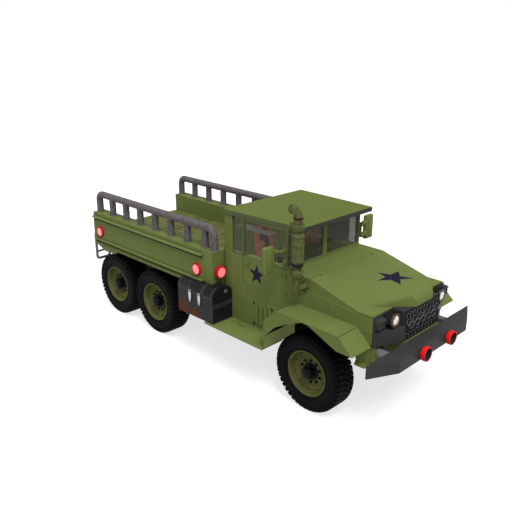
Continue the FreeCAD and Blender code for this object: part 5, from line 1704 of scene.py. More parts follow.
@dataclass
class Doors:
    """Handles, hinges, pane dividers and inner sills that ride on the doors."""

    palette: Palette
    face: float = 0.846

    def handle(self) -> Piece:
        """Pull handle on its plate."""
        y = -self.face
        plate = Piece.block("handle", (0.600, y - 0.005, 1.772), (0.700, y, 1.812), 0.002, 1)
        posts = [Piece.rod("post", (x, y, 1.792), (x, y - 0.034, 1.792), 0.008, sides=16, bevel=0.001)
                 for x in (0.618, 0.682)]
        grip = bar("grip", (0.608, y - 0.036, 1.792), (0.692, y - 0.036, 1.792), 0.018, 0.012, OUT, 0.004)
        lock = Piece.rod("lock", (0.650, y - 0.004, 1.758), (0.650, y - 0.012, 1.758), 0.012, sides=24,
                         bevel=0.002)
        return joined("door_handle", [plate, *posts, grip, lock]).smooth(35)

    def hinges(self) -> Piece:
        """Leaf halves of the two door hinges."""
        pieces = []
        for z in (1.520, 1.770):
            leaf = Piece.block("leaf", (1.300, -self.face - 0.005, z - 0.026), (1.388, -self.face, z + 0.026),
                               0.002, 1)
            bolts = [((x, -self.face - 0.005, z + d), OUT) for x in (1.320, 1.356) for d in (-0.013, 0.013)]
            pieces += [leaf, Fasteners.spread("bolts", Fasteners(0.012, 0.006).bolt(), bolts)]
        return joined("hinge_leaves", pieces)

    def divider(self) -> Piece:
        """Bar between the door's main pane and its vent pane."""
        return bar("pane_divider", (1.210, -0.8265, 1.862), (1.210, -0.8265, 2.388), 0.016, 0.014, OUT, 0.003)

    def sill(self) -> Piece:
        """Inner trim plate with its ribs and window crank."""
        pieces = [Piece.block("trim_plate", (0.566, -0.806, 1.450), (1.360, -0.798, 1.846), 0.003)]
        for n in range(5):
            pieces.append(Piece.block("rib", (0.660, -0.799, 1.510 + n * 0.058),
                                      (1.240, -0.793, 1.530 + n * 0.058), 0.0025))
        boss = Piece.rod("boss", (1.130, -0.800, 1.780), (1.130, -0.770, 1.780), 0.016, sides=20, bevel=0.002)
        crank = bar("crank", (1.130, -0.772, 1.780), (1.070, -0.772, 1.720), 0.014, 0.008, (0, 1, 0), 0.002)
        knob = Piece.rod("knob", (1.072, -0.772, 1.722), (1.072, -0.742, 1.722), 0.012, sides=20, bevel=0.003)
        return joined("door_trim", [*pieces, boss, crank, knob]).smooth(35)

    def build(self) -> None:
        """Model the right-hand pieces and mirror them onto both doors."""
        p = self.palette
        body = "door_{side}_body"
        pair(self.handle().paint(p.olive), "door_handle", body, Slot.OLIVE)
        pair(self.hinges().paint(p.olive), "hinge_leaves", body, Slot.OLIVE)
        # The divider takes the darker glowing olive: painted dimming and painted light.
        pair(self.divider().paint(p.glazed), "pane_divider", body, Slot.OLIVE)
        # The door trim takes the glowing inside olive: painted light.
        pair(self.sill().paint(p.inside), "door_trim", body, Slot.OLIVE)
        # The door sill takes the lighter glowing olive: painted light.
        pair(Piece.block("door_sill", (0.566, -0.812, 1.846), (1.330, -0.700, 1.860), 0.004).paint(p.sill),
             "door_sill", body, Slot.OLIVE)


@dataclass
class CabInside:
    """What shows through the panes: liner, shelf, sills, gauges, levers and pedals."""

    palette: Palette

    def liner(self) -> Piece:
        """Ribbed liner on the cab's rear wall and roof edge."""
        pieces = [Piece.block("liner", (0.190, -0.79, 1.42), (0.196, 0.79, 2.40), 0.002, 1)]
        for n in range(7):
            y = -0.75 + n * 0.25
            pieces.append(Piece.block("rib", (0.192, y - 0.022, 1.45), (0.212, y + 0.022, 2.38), 0.008))
        return joined("cab_liner", pieces).smooth(35)

    def shelves(self) -> Piece:
        """Clear shelf over each door."""
        return Piece.block("glowing_clear_shelf", (0.360, -0.812, 2.274), (1.040, -0.652, 2.280), 0.002, 1)

    def sills(self) -> Piece:
        """Broad sill under the rear quarter pane."""
        return Piece.block("quarter_sill", (0.196, -0.806, 1.846), (0.500, -0.716, 1.860), 0.004)

    def gauges(self) -> Piece:
        """Two dark pods and a row of dials on the dashboard."""
        pieces = []
        for y in (0.02, 0.26):
            pod = Piece.block("pod", (1.240, y - 0.055, 1.800), (1.330, y + 0.055, 1.880), 0.010, 3)
            pod.on_faces(lambda f: f.normal.x < -0.95, bpy.ops.mesh.inset, thickness=0.008, depth=-0.006)
            pieces.append(pod)
        for y in [0.22 + n * 0.075 for n in range(6)]:
            ring = Piece.lathe("dial", [(0.0, 0.0), (0.024, 0.0), (0.026, -0.006), (0.031, -0.008),
                                        (0.032, 0.004), (0.0, 0.004)], (1.306, y, 1.752), Axis.X, 28)
            pieces.append(ring)
        return joined("dash_dials", pieces).smooth(40)

    def levers(self) -> Piece:
        """Gear and transfer levers with knobs, and a rubber boot at their foot."""
        pieces = []
        for x, y, lean in ((1.17, 0.04, 0.05), (1.12, -0.06, 0.02), (1.20, 0.13, 0.07)):
            pieces.append(Piece.pipe("lever", [(x, y, 1.40), (x + lean, y, 1.56), (x - lean, y + 0.01, 1.80)],
                                     0.008, 0.06))
            pieces.append(Piece.lathe("knob", [(0.0, -0.022), (0.014, -0.020), (0.022, -0.004),
                                               (0.018, 0.014), (0.0, 0.020)], (x - lean, y + 0.01, 1.806),
                                      Axis.Z, 20))
            pieces.append(Piece.lathe("boot", [(0.0, 0.0), (0.052, 0.0), (0.050, 0.010), (0.036, 0.016),
                                               (0.036, 0.026), (0.022, 0.032), (0.022, 0.042), (0.010, 0.052),
                                               (0.0, 0.052)], (x, y, 1.384), Axis.Z, 24))
        return joined("cab_levers", pieces).smooth(45)

    def pedals(self) -> Piece:
        """Three pedals on their arms under the dashboard."""
        pieces = []
        for y in (0.28, 0.40, 0.53):
            pieces += [bar("arm", (1.500, y, 1.680), (1.440, y, 1.470), 0.014, 0.020, (1, 0, 0.3), 0.003),
                       bar("pad", (1.452, y, 1.500), (1.418, y, 1.424), 0.062, 0.010, (1, 0, -0.45), 0.004)]
        return joined("pedals", pieces).smooth(35)

    def build(self) -> None:
        """Model and dress the pieces."""
        p = self.palette
        # The liner takes the glowing inside olive: painted light.
        self.liner().paint(p.inside).fix(ROOT, Slot.OLIVE)
        # The shelves glow: painted light.
        twin(self.shelves()).paint(p.clear).fix(ROOT, Slot.GLASS)
        # The quarter sills take the lighter glowing olive: painted light.
        twin(self.sills()).paint(p.sill).fix(ROOT, Slot.OLIVE)
        self.gauges().paint(p.trim).fix(ROOT, Slot.BLACK_TRIM)
        self.levers().paint(p.trim).fix(ROOT, Slot.BLACK_TRIM)
        self.pedals().paint(p.trim).fix(ROOT, Slot.BLACK_TRIM)


@dataclass
class Seats:
    """Two bucket seats: base frame, dark centre pads and thick leather bolsters.

    Attributes:
        y: Place of the right seat's middle across the cab.
        bolster_r: Radius of the back's rolls.
        fine: Size of the pads' grid, as stuffed by the cloth solver.
        coarse: Coarser size of the pads' grid; not used.
        pressure: Air pressure in the pads.
        frames: Frames that the cloth solver runs for.
        groove: Half of the width of a sewn channel.
    """

    palette: Palette
    y: float = -0.400
    bolster_r: float = 0.046
    fine: float = 0.0065
    coarse: float = 0.012
    pressure: float = 4.0
    frames: int = 20
    groove: float = 0.016

    def frame_work(self) -> Piece:
        """Pedestal with slide rails and bolts."""
        y = self.y
        base = Piece.block("base", (0.640, y - 0.165, 1.392), (0.985, y + 0.165, 1.600), 0.012)
        base.on_faces(lambda f: f.normal.z > 0.9, bpy.ops.transform.resize, value=(1.15, 1.15, 1),
                      center_override=(0.81, y, 1.6))
        rails = [Piece.block("rail", (0.600, y + d - 0.018, 1.381), (1.020, y + d + 0.018, 1.396), 0.003)
                 for d in (-0.15, 0.15)]
        spots = [((x, y + d, 1.396), UP) for x in (0.618, 1.002) for d in (-0.15, 0.15)]
        pan = Piece.block("pan", (0.560, y - 0.205, 1.600), (1.030, y + 0.205, 1.624), 0.008)
        return joined("seat_base", [base, pan, *rails,
                                    Fasteners.spread("bolts", Fasteners(0.014, 0.007).bolt(), spots)])

    def pad(self, name: str, low: Point, high: Point, swell: float) -> Piece:
        """Stuffed pad: a block blown up like a real cushion, its sides pulled in between the corners.

        Args:
            name: Piece's name.
            low: Lowest corner.
            high: Highest corner.
            swell: Furthest that a point may move.

        Returns:
            The padded piece.
        """
        piece = Piece.block(name, low, high, 0.018, 3)
        piece.modify("REMESH", mode="VOXEL", voxel_size=self.fine)
        rest = [vertex.co.copy() for vertex in piece.obj.data.vertices]
        take(piece.obj)
        cloth = piece.obj.modifiers.new("Cloth", "CLOTH")
        cloth.settings.use_pressure = True
        cloth.settings.uniform_pressure_force = self.pressure
        cloth.settings.effector_weights.gravity = 0.0
        cloth.settings.quality = 5
        for step in range(1, self.frames + 1):
            bpy.context.scene.frame_set(step)
        bpy.ops.object.modifier_apply(modifier=cloth.name)
        bpy.context.scene.frame_set(1)
        for vertex, start in zip(piece.obj.data.vertices, rest):
            move = vertex.co - start
            if move.length > swell:
                vertex.co = start + move * (swell / move.length)
        return piece.modify("CORRECTIVE_SMOOTH", iterations=4, use_only_smooth=True).smooth(180)

    def grooves(self, piece: Piece, axis: int, places: Sequence[float], depth: float, normal: int) -> Piece:
        """Press sewn channels into a pad at places along an axis."""
        for vertex in piece.obj.data.vertices:
            near = min(abs(vertex.co[axis] - place) for place in places)
            if near < self.groove:
                vertex.co[normal] -= depth * (1 - near / self.groove) ** 2
        return piece

    def bolster(self, name: str, route: Sequence[Point], radius: float) -> Piece:
        """Stuffed roll along a route, with rounded ends."""
        roll = Piece.pipe(name, route, radius, 0.13, 8)
        roll.modify("REMESH", mode="VOXEL", voxel_size=0.009)
        roll.modify("CORRECTIVE_SMOOTH", iterations=12, use_only_smooth=True)
        return roll.smooth(180)

    def build(self) -> None:
        """Model one seat and mirror it."""
        p, y = self.palette, self.y
        twin(self.frame_work()).paint(p.chassis).fix(ROOT, Slot.DARK_STEEL, "seats")
        cushion = self.pad("seat_cushion", (0.590, y - 0.160, 1.640), (1.020, y + 0.160, 1.722), 0.018)
        self.grooves(cushion, 0, (0.70, 0.80, 0.90), 0.007, 2)
        back = self.pad("seat_back", (-0.040, y - 0.112, 1.760), (0.040, y + 0.112, 2.200), 0.016)
        self.grooves(back, 2, (1.87, 1.98, 2.09), -0.007, 0)
        back.moved(Matrix.Translation((0.560, 0, 1.72)) @ turn(-9.5, Axis.Y) @ Matrix.Translation((0, 0,
                                                                                                   -1.72)))
        r = self.bolster_r
        half = 0.138
        arch = self.bolster("seat_arch", [(0.588, y - half, 1.735), (0.500, y - half, 2.232),
                                          (0.500, y + half, 2.232), (0.588, y + half, 1.735)], r)
        rolls = self.bolster("seat_rolls", [(0.570, y - 0.182, 1.680), (1.010, y - 0.182, 1.690),
                                            (1.010, y + 0.182, 1.690), (0.570, y + 0.182, 1.680)], 0.050)
        lobe = self.bolster("seat_lobe", [(0.690, y - 0.225, 1.76), (0.675, y - 0.225, 2.062)], 0.074)
        # The seat leathers glow: painted light.
        for name, piece, material in (("seat_cushion", cushion, p.seat_dark),
                                      ("seat_back", back, p.seat_dark), ("seat_arch", arch, p.seat),
                                      ("seat_rolls", rolls, p.seat_dark), ("seat_lobe", lobe, p.seat)):
            piece.paint(material)
            left = piece.copy(name + "_left", MIRROR)
            piece.obj.name = piece.obj.data.name = name + "_right"
            for one in (piece, left):
                one.fix(ROOT, Slot.SEAT)


@dataclass
class Mirrors:
    """Tall mirror heads on their bracket arms."""

    palette: Palette

    def head(self) -> Piece:
        """Rounded shell with a stepped inner plate; the glass side is recessed."""
        shell = Piece.block("mirror_shell", (1.302, -1.243, 1.870), (1.378, -1.057, 2.258), 0.026, 4)
        open_mesh(shell.obj)
        pick_faces(shell.obj, lambda f: f.normal.x < -0.98)
        bpy.ops.mesh.inset(thickness=0.006, depth=0)
        bpy.ops.mesh.inset(thickness=0.003, depth=-0.012)
        close_mesh()
        step = Piece.block("step", (1.318, -1.062, 1.930), (1.368, -1.043, 2.215), 0.008, 3)
        rib = Piece.block("rib", (1.374, -1.205, 1.915), (1.388, -1.105, 2.210), 0.010, 3)
        spots = [((1.343, -1.043, z), (0, 1, 0)) for z in (1.955, 2.050, 2.100, 2.190)]
        bolts = Fasteners.spread("bolts", Fasteners(0.014, 0.007).bolt(), spots)
        return joined("mirror_shell", [shell, step, rib, bolts]).smooth(35)

    def glass(self) -> Piece:
        """Mirror glass in its frame."""
        return Piece.block("mirror_glass", (1.3115, -1.228, 1.888), (1.316, -1.072, 2.240), 0.0015, 1)

    def arms(self) -> Piece:
        """Upper and lower arms, clamp knobs and the pad on the windscreen's post."""
        pieces = []
        for z, r in ((2.170, 0.016), (1.990, 0.014)):
            pieces.append(Piece.pipe("arm", [(1.415, -0.852, z), (1.412, -0.950, z - 0.012),
                                             (1.350, -1.046, z)], r, 0.05))
            collar = Piece.lathe("collar", [(0.0, -0.024), (0.024, -0.024), (0.029, -0.018), (0.029, 0.018),
                                            (0.024, 0.024), (0.0, 0.024)], (1.362, -1.020, z - 0.004), Axis.Y,
                                 24)
            knob = Piece.block("knob", (1.392, -0.910, z - 0.034), (1.440, -0.862, z + 0.030), 0.010, 3)
            cup = Piece.rod("cup", (1.416, -0.886, z + 0.028), (1.416, -0.886, z + 0.046), 0.018, 0.014,
                            sides=20, bevel=0.003)
            pieces += [collar, knob, cup]
        pad = Piece.block("pad", (1.393, -0.862, 1.962), (1.427, -0.8475, 2.204), 0.005)
        spots = [((1.410, -0.862, z), OUT) for z in (1.975, 2.080, 2.125)]
        return joined("mirror_arms", [*pieces, pad, Fasteners.spread("bolts", Fasteners(0.014, 0.007).bolt(),
                                                                     spots)]).smooth(35)

    def build(self) -> None:
        """Model and dress the mirrors."""
        p = self.palette
        twin(self.head()).paint(p.olive).fix(ROOT, Slot.OLIVE, "mirrors")
        twin(self.glass()).paint(p.chrome).fix(ROOT, Slot.CHROME)
        twin(self.arms()).paint(p.olive).fix(ROOT, Slot.OLIVE)


@dataclass
class Stack:
    """Upright exhaust stack: lower pipe, clamps, muffler, upper pipe and turned-back tail.

    Attributes:
        x: X of the stack's axis.
        y: Y of the stack's axis.
        muffler_r: Radius of the muffler.
        bend_z: Height where the tail starts to turn.
        bend_r: Radius of the turn.
        sweep: Degrees that the tail turns through.
    """

    palette: Palette
    x: float = 1.725
    y: float = -0.982
    muffler_r: float = 0.087
    bend_z: float = 2.705
    bend_r: float = 0.100
    sweep: float = 96

    def turned(self, name: str, profile: Sequence[tuple[float, float]]) -> Piece:
        """Piece turned about the stack's axis; distances are heights."""
        return Piece.lathe(name, profile, (self.x, self.y, 0), Axis.Z, 48).smooth(38)

    def pipes(self) -> Piece:
        """Lower pipe, muffler with its seams, and upper pipe."""
        r = self.muffler_r
        profile = [(0.0, 1.640), (0.050, 1.640), (0.056, 1.648), (0.057, 1.660), (0.057, 2.060),
                   (0.062, 2.066), (0.066, 2.078), (r - 0.006, 2.098), (r, 2.106), (r + 0.0025, 2.112),
                   (r + 0.0025, 2.122), (r, 2.128)]
        for z in (2.220, 2.340):
            profile += [(r, z), (r + 0.0015, z + 0.004), (r + 0.0015, z + 0.010), (r, z + 0.014)]
        profile += [(r, 2.452), (r + 0.0025, 2.458), (r + 0.0025, 2.468), (r - 0.001, 2.474), (0.068, 2.494),
                    (0.061, 2.500), (0.061, 2.700), (0.0, 2.700)]
        return self.turned("stack", profile)

    def tail(self) -> Piece:
        """Hollow tail that turns to the rear."""
        centre = (self.x - self.bend_r, self.y, self.bend_z)
        steps, r = 24, 0.061
        angles = [math.tau * n / steps for n in range(steps + 1)]
        circle = [(self.x + r * math.cos(a), self.y + r * math.sin(a), self.bend_z) for a in angles]
        pipe = Piece.trace("tail", circle)
        bpy.ops.mesh.select_all(action="SELECT")
        bpy.ops.mesh.remove_doubles(threshold=WELD)
        bpy.ops.mesh.select_all(action="SELECT")
        bpy.ops.mesh.spin(steps=14, angle=math.radians(self.sweep), center=centre, axis=(0, 1, 0))
        pipe.sound()
        pipe.modify("SOLIDIFY", thickness=0.006, offset=-1)
        return pipe.smooth(50)

    def edges(self) -> Piece:
        """Rusty rims at the tail's mouth and joints, and the dark line down the weld."""
        r = 0.0645
        ring = [(r - 0.006, 2.690), (r, 2.690), (r + 0.003, 2.695), (r + 0.003, 2.712), (r, 2.717),
                (r - 0.006, 2.717), (r - 0.006, 2.690)]
        joint = self.turned("joint", ring)
        mouth = Piece.lathe("mouth", [(0.053, -0.016), (0.0600, -0.016), (0.0605, -0.008), (0.0605, 0.010),
                                      (0.055, 0.012), (0.053, -0.016)], ORIGIN, Axis.Z, 40).smooth(40)
        angle, bend = math.radians(self.sweep), self.bend_r
        spot = Vector((self.x - bend + bend * math.cos(angle), self.y, self.bend_z + bend * math.sin(angle)))
        mouth.moved(facing(spot, (-math.sin(angle), 0, math.cos(angle))))
        return joined("stack_rims", [joint, mouth])

    def welds(self) -> Piece:
        """Rusty weld lines down the side of the pipes and muffler."""
        a = math.radians(-22)
        out = (math.cos(a), math.sin(a), 0)
        lines = []
        for r, z0, z1 in ((0.0575, 1.660, 2.055), (0.0615, 2.505, 2.690)):
            place = (self.x + out[0] * r, self.y + out[1] * r)
            lines.append(bar("weld", (*place, z0), (*place, z1), 0.010, 0.005, out, 0.001))
        return joined("stack_welds", lines)

    def bands(self) -> Piece:
        """Black band under the muffler."""
        r = 0.076
        return self.turned("stack_band", [(r - 0.018, 2.046), (r, 2.046), (r + 0.002, 2.050),
                                          (r + 0.002, 2.080), (r, 2.084), (r - 0.018, 2.084),
                                          (r - 0.018, 2.046)])

    def clamps(self) -> Piece:
        """Clamps round the pipes with their ears and bolts, and the stay to the cab."""
        pieces = []
        for z, r in ((1.940, 0.0625), (2.580, 0.0685)):
            hoop = [(r - 0.004, z - 0.045), (r + 0.010, z - 0.045), (r + 0.013, z - 0.040),
                    (r + 0.013, z + 0.040), (r + 0.010, z + 0.045), (r - 0.004, z + 0.045),
                    (r - 0.004, z - 0.045)]
            pieces.append(self.turned("hoop", hoop))
            ear = Piece.block("ear", (self.x - r - 0.062, self.y - 0.032, z - 0.048),
                              (self.x - r + 0.010, self.y + 0.030, z + 0.042), 0.010, 3)
            cap = Piece.rod("cap", (self.x - r - 0.030, self.y - 0.030, z),
                            (self.x - r - 0.030, self.y - 0.046, z), 0.026, 0.020, sides=24, bevel=0.003)
            pieces += [ear, cap]
        stay = Piece.block("stay", (self.x - 0.024, self.y + 0.050, 1.800), (self.x + 0.024, -0.8475, 1.836),
                           0.005)
        foot = Piece.block("foot", (self.x - 0.050, -0.856, 1.780), (self.x + 0.050, -0.8475, 1.856), 0.003)
        elbow = Piece.pipe("elbow", [(self.x, self.y, 1.730), (self.x + 0.030, self.y + 0.060, 1.730),
                                     (self.x + 0.030, -0.848, 1.730)], 0.046, 0.04, 6)
        flange = Piece.rod("flange", (self.x + 0.030, -0.862, 1.730), (self.x + 0.030, -0.8475, 1.730), 0.066,
                           sides=40, bevel=0.003)
        return joined("stack_clamps", [*pieces, stay, foot, elbow, flange]).smooth(35)

    def build(self) -> None:
        """Model and dress the stack."""
        p = self.palette
        self.pipes().join([self.tail(), self.clamps()]).paint(p.stack).fix(ROOT, Slot.OLIVE, "exhaust_stack")
        self.edges().join([self.welds()]).paint(p.stack_edge).fix(ROOT, Slot.IRON)
        self.bands().paint(p.trim).fix(ROOT, Slot.BLACK_TRIM)


# ------------------------------------------------------------------ cargo bed
@dataclass
class Bed:
    """Cargo bed's skins: cap rails, pressed lines, posts, rail feet, floor plates and tail details.

    Attributes:
        rear: X of the tailboard.
        front: X of the side walls' front ends.
        face: Distance of the sides from the truck's middle.
        rail_step: Distance between the rails' uprights.
        seams: X of each vertical seam on a side.
    """

    palette: Palette
    rear: float = -3.227
    front: float = -0.012
    face: float = 1.077
    rail_step: float = 0.4265
    seams: tuple[float, ...] = (-2.373, -1.545, -0.708)

    def skins(self) -> Piece:
        """Side walls, cab-side wall and tailboard, from the frame's own shapes."""
        return Piece.from_node("bed_sides", 0.004, smooth=20)

    def ledge(self, top: float, out: float, drop: float) -> Piece:
        """Pressed ledge along the side: a sloping top face and a thin outer edge."""
        y, low = -self.face, top - drop - 0.012
        outline = [(self.rear, y + 0.002, top), (self.rear, y - out, top - drop), (self.rear, y - out, low),
                   (self.rear, y + 0.002, low)]
        return Piece.slab("ledge", outline, (self.front - 0.100 - self.rear, 0, 0), 0.0015, 1)

    def side_lines(self) -> Piece:
        """Cap rail, the two pressed ledges, the rear corner's fold and the skirt's wedge of one side."""
        y, rear = -self.face, self.rear
        pieces = [self.ledge(1.792, 0.045, 0.026), self.ledge(1.370, 0.036, 0.020),
                  Piece.block("cap", (rear, y - 0.004, 1.8005), (self.front - 0.100, y + 0.002, 1.8515),
                              0.0015, 1), Piece.slab("fold", [(rear, y, 1.238), (rear, y - 0.012, 1.238),
                                                              (rear + 0.016, y - 0.018, 1.238),
                                                              (rear + 0.056, y, 1.238)], (0, 0, 0.474), 0.002,
                                                     1), Piece.slab("wedge", [(rear + 0.02, y + 0.004, 1.236),
                                                                              (rear + 0.30, y + 0.004, 1.145),
                                                                              (rear + 0.62, y + 0.004, 1.160),
                                                                              (rear + 0.74, y + 0.004,
                                                                               1.236)], (0, 0.060, 0), 0.002,
                                                                    1)]
        return joined("bed_lines", pieces).smooth(30)

    def beads(self) -> Piece:
        """Thin raised line along the side and its vertical seams."""
        y = -self.face
        pieces = [Piece.block("bead", (self.rear + 0.06, y - 0.004, 1.432), (self.front - 0.104, y + 0.001,
                                                                             1.442), 0.0015, 1)]
        pieces += [Piece.block("seam", (x - 0.004, y - 0.003, 1.446), (x + 0.004, y + 0.001, 1.712), 0.0010,
                               1) for x in self.seams]
        return joined("bed_beads", pieces)

    def strips(self, name: str, rows: Sequence[tuple[float, float]]) -> Piece:
        """Flat strips along the side, each as its lowest and highest z."""
        y = -self.face
        return joined(name, [Piece.block("gap", (self.rear + 0.006, y - 0.0045, low),
                                         (self.front - 0.100, y + 0.001, high), 0.001, 1)
                             for low, high in rows])

    def underside(self) -> Piece:
        """Dark boards along the inside of the wheels, painted shade under the bed, with stiffeners."""
        pieces = [Piece.block("board", (-3.150, -0.690, 0.800), (-0.900, -0.684, 1.330), 0.002, 1)]
        for n in range(9):
            pieces.append(Piece.block("rib", (-3.08 + n * 0.26, -0.696, 0.820),
                                      (-3.05 + n * 0.26, -0.686, 1.320), 0.003))
        return joined("bed_shade_boards", pieces)

    def corner(self) -> Piece:
        """Front corner post with its rivets."""
        y = -self.face
        post = Piece.block("post", (self.front - 0.096, y - 0.003, 1.226), (0.106, y + 0.002, 1.8505), 0.002)
        spots = [((x, y - 0.003, z), OUT) for x in (self.front - 0.075, 0.085)
                 for z in (1.27, 1.42, 1.62, 1.78)]
        return joined("bed_posts", [post, Fasteners.spread("rivets", Fasteners(0.014).rivet(),
                                                           spots)]).smooth(35)

    def feet(self) -> Piece:
        """Round feet under the rails' uprights."""
        foot = Piece.lathe("foot", [(0.0, 0.0), (0.070, 0.0), (0.071, 0.003), (0.069, 0.006), (0.063, 0.010),
                                    (0.060, 0.020), (0.0, 0.020)], ORIGIN, Axis.Z, 28).smooth(38)
        places = [(-3.160 + n * self.rail_step, -0.960, 1.852) for n in range(8)] + [(0.036, -0.960, 1.852)]
        feet = [foot.copy("rail_feet", shift(*place)) for place in places]
        bpy.data.objects.remove(foot.obj)
        return joined("rail_feet", feet)

    def ladder(self) -> Piece:
        """Hanging tube step behind the right rear corner, with its rung and lugs."""
        top, low = -3.249, -3.3575
        hoop = Piece.pipe("hoop", [(top, -1.060, 1.400), (low, -1.000, 0.8755), (low, -0.735, 0.8755),
                                   (top, -0.735, 1.400)], 0.024, 0.06, 6)
        rung = Piece.pipe("rung", [(-3.325, -1.018, 1.030), (-3.325, -0.735, 1.030)], 0.019, 0.01, 6)
        lugs = [Piece.block("lug", (-3.262, y - 0.022, 1.362), (-3.227, y + 0.022, 1.438), 0.006)
                for y in (-1.058, -0.735)]
        return joined("rear_ladder", [hoop, rung, *lugs]).smooth(35)

    def floor(self) -> Piece:
        """Steel floor plates, on the frame's floor."""
        return Piece.from_node("bed_floor", 0.003, smooth=20)

    def plates(self) -> tuple[Piece, Piece]:
        """Tread bars along the floor and the dark cross seams between its plates."""
        bars = [Piece.block("tread", (self.rear + 0.10, y - 0.016, 1.519), (-0.04, y + 0.016, 1.5235), 0.0015,
                            1) for y in [-0.80 + n * 0.100 for n in range(17)]]
        seams = [Piece.block("plate_seam", (x - 0.010, -0.830, 1.519), (x + 0.010, 0.830, 1.5245), 0.001, 1)
                 for x in (-2.120, -1.250, -0.350)]
        return joined("floor_treads", bars), joined("floor_seams", seams)

    def latches(self) -> Piece:
        """Tailboard's corner latches."""
        x = self.rear
        pieces = []
        for z in (1.70, 1.36):
            pieces.append(Piece.block("plate", (x - 0.012, -1.068, z - 0.05), (x, -1.000, z + 0.05), 0.003))
            pieces.append(bar("arm", (x - 0.016, -1.045, z + 0.04), (x - 0.016, -0.985, z - 0.035), 0.020,
                              0.010, (-1, 0, 0), 0.003))
            pieces.append(Piece.rod("pin", (x - 0.024, -1.045, z + 0.035), (x, -1.045, z + 0.035), 0.009,
                                    sides=18, bevel=0.002))
        return joined("tailboard_latches", pieces).smooth(35)

    def build(self) -> None:
        """Model, mirror and dress the bed."""
        p = self.palette
        self.ladder().paint(p.strut).fix(ROOT, Slot.BRIGHT_STEEL, "rear_ladder")
        self.skins().paint(p.olive).fix(ROOT, Slot.OLIVE, "bed_sides")
        twin(self.side_lines()).paint(p.olive).fix(ROOT, Slot.OLIVE)
        # The bead and seams take the lighter olive: painted highlight.
        twin(self.beads()).paint(p.olive_edge).fix(ROOT, Slot.OLIVE)
        # Black strip under the upper ledge: painted shadow of the ledge.
        twin(self.strips("bed_ledge_shadow", ((1.711, 1.736),))).paint(p.trim).fix(ROOT, Slot.BLACK_TRIM)
        twin(self.strips("bed_shadow_lines", ((1.792, 1.8003), (1.283, 1.338),
                                              (1.370, 1.377)))).paint(p.shade).fix(ROOT, Slot.OLIVE)
        # The boards under the bed are painted shade.
        twin(self.underside()).paint(p.chassis).fix(ROOT, Slot.DARK_STEEL)
        twin(self.corner()).paint(p.olive).fix(ROOT, Slot.OLIVE)
        twin(self.feet()).paint(p.pipe).fix(ROOT, Slot.PIPE_PAINT)
        self.floor().paint(p.floor).fix(ROOT, Slot.FLOOR_PAINT, "bed_floor")
        treads, seams = self.plates()
        treads.paint(p.floor).fix(ROOT, Slot.FLOOR_PAINT)
        seams.paint(p.seam).fix(ROOT, Slot.BLACK_TRIM)
        twin(self.latches()).paint(p.strut).fix(ROOT, Slot.BRIGHT_STEEL)


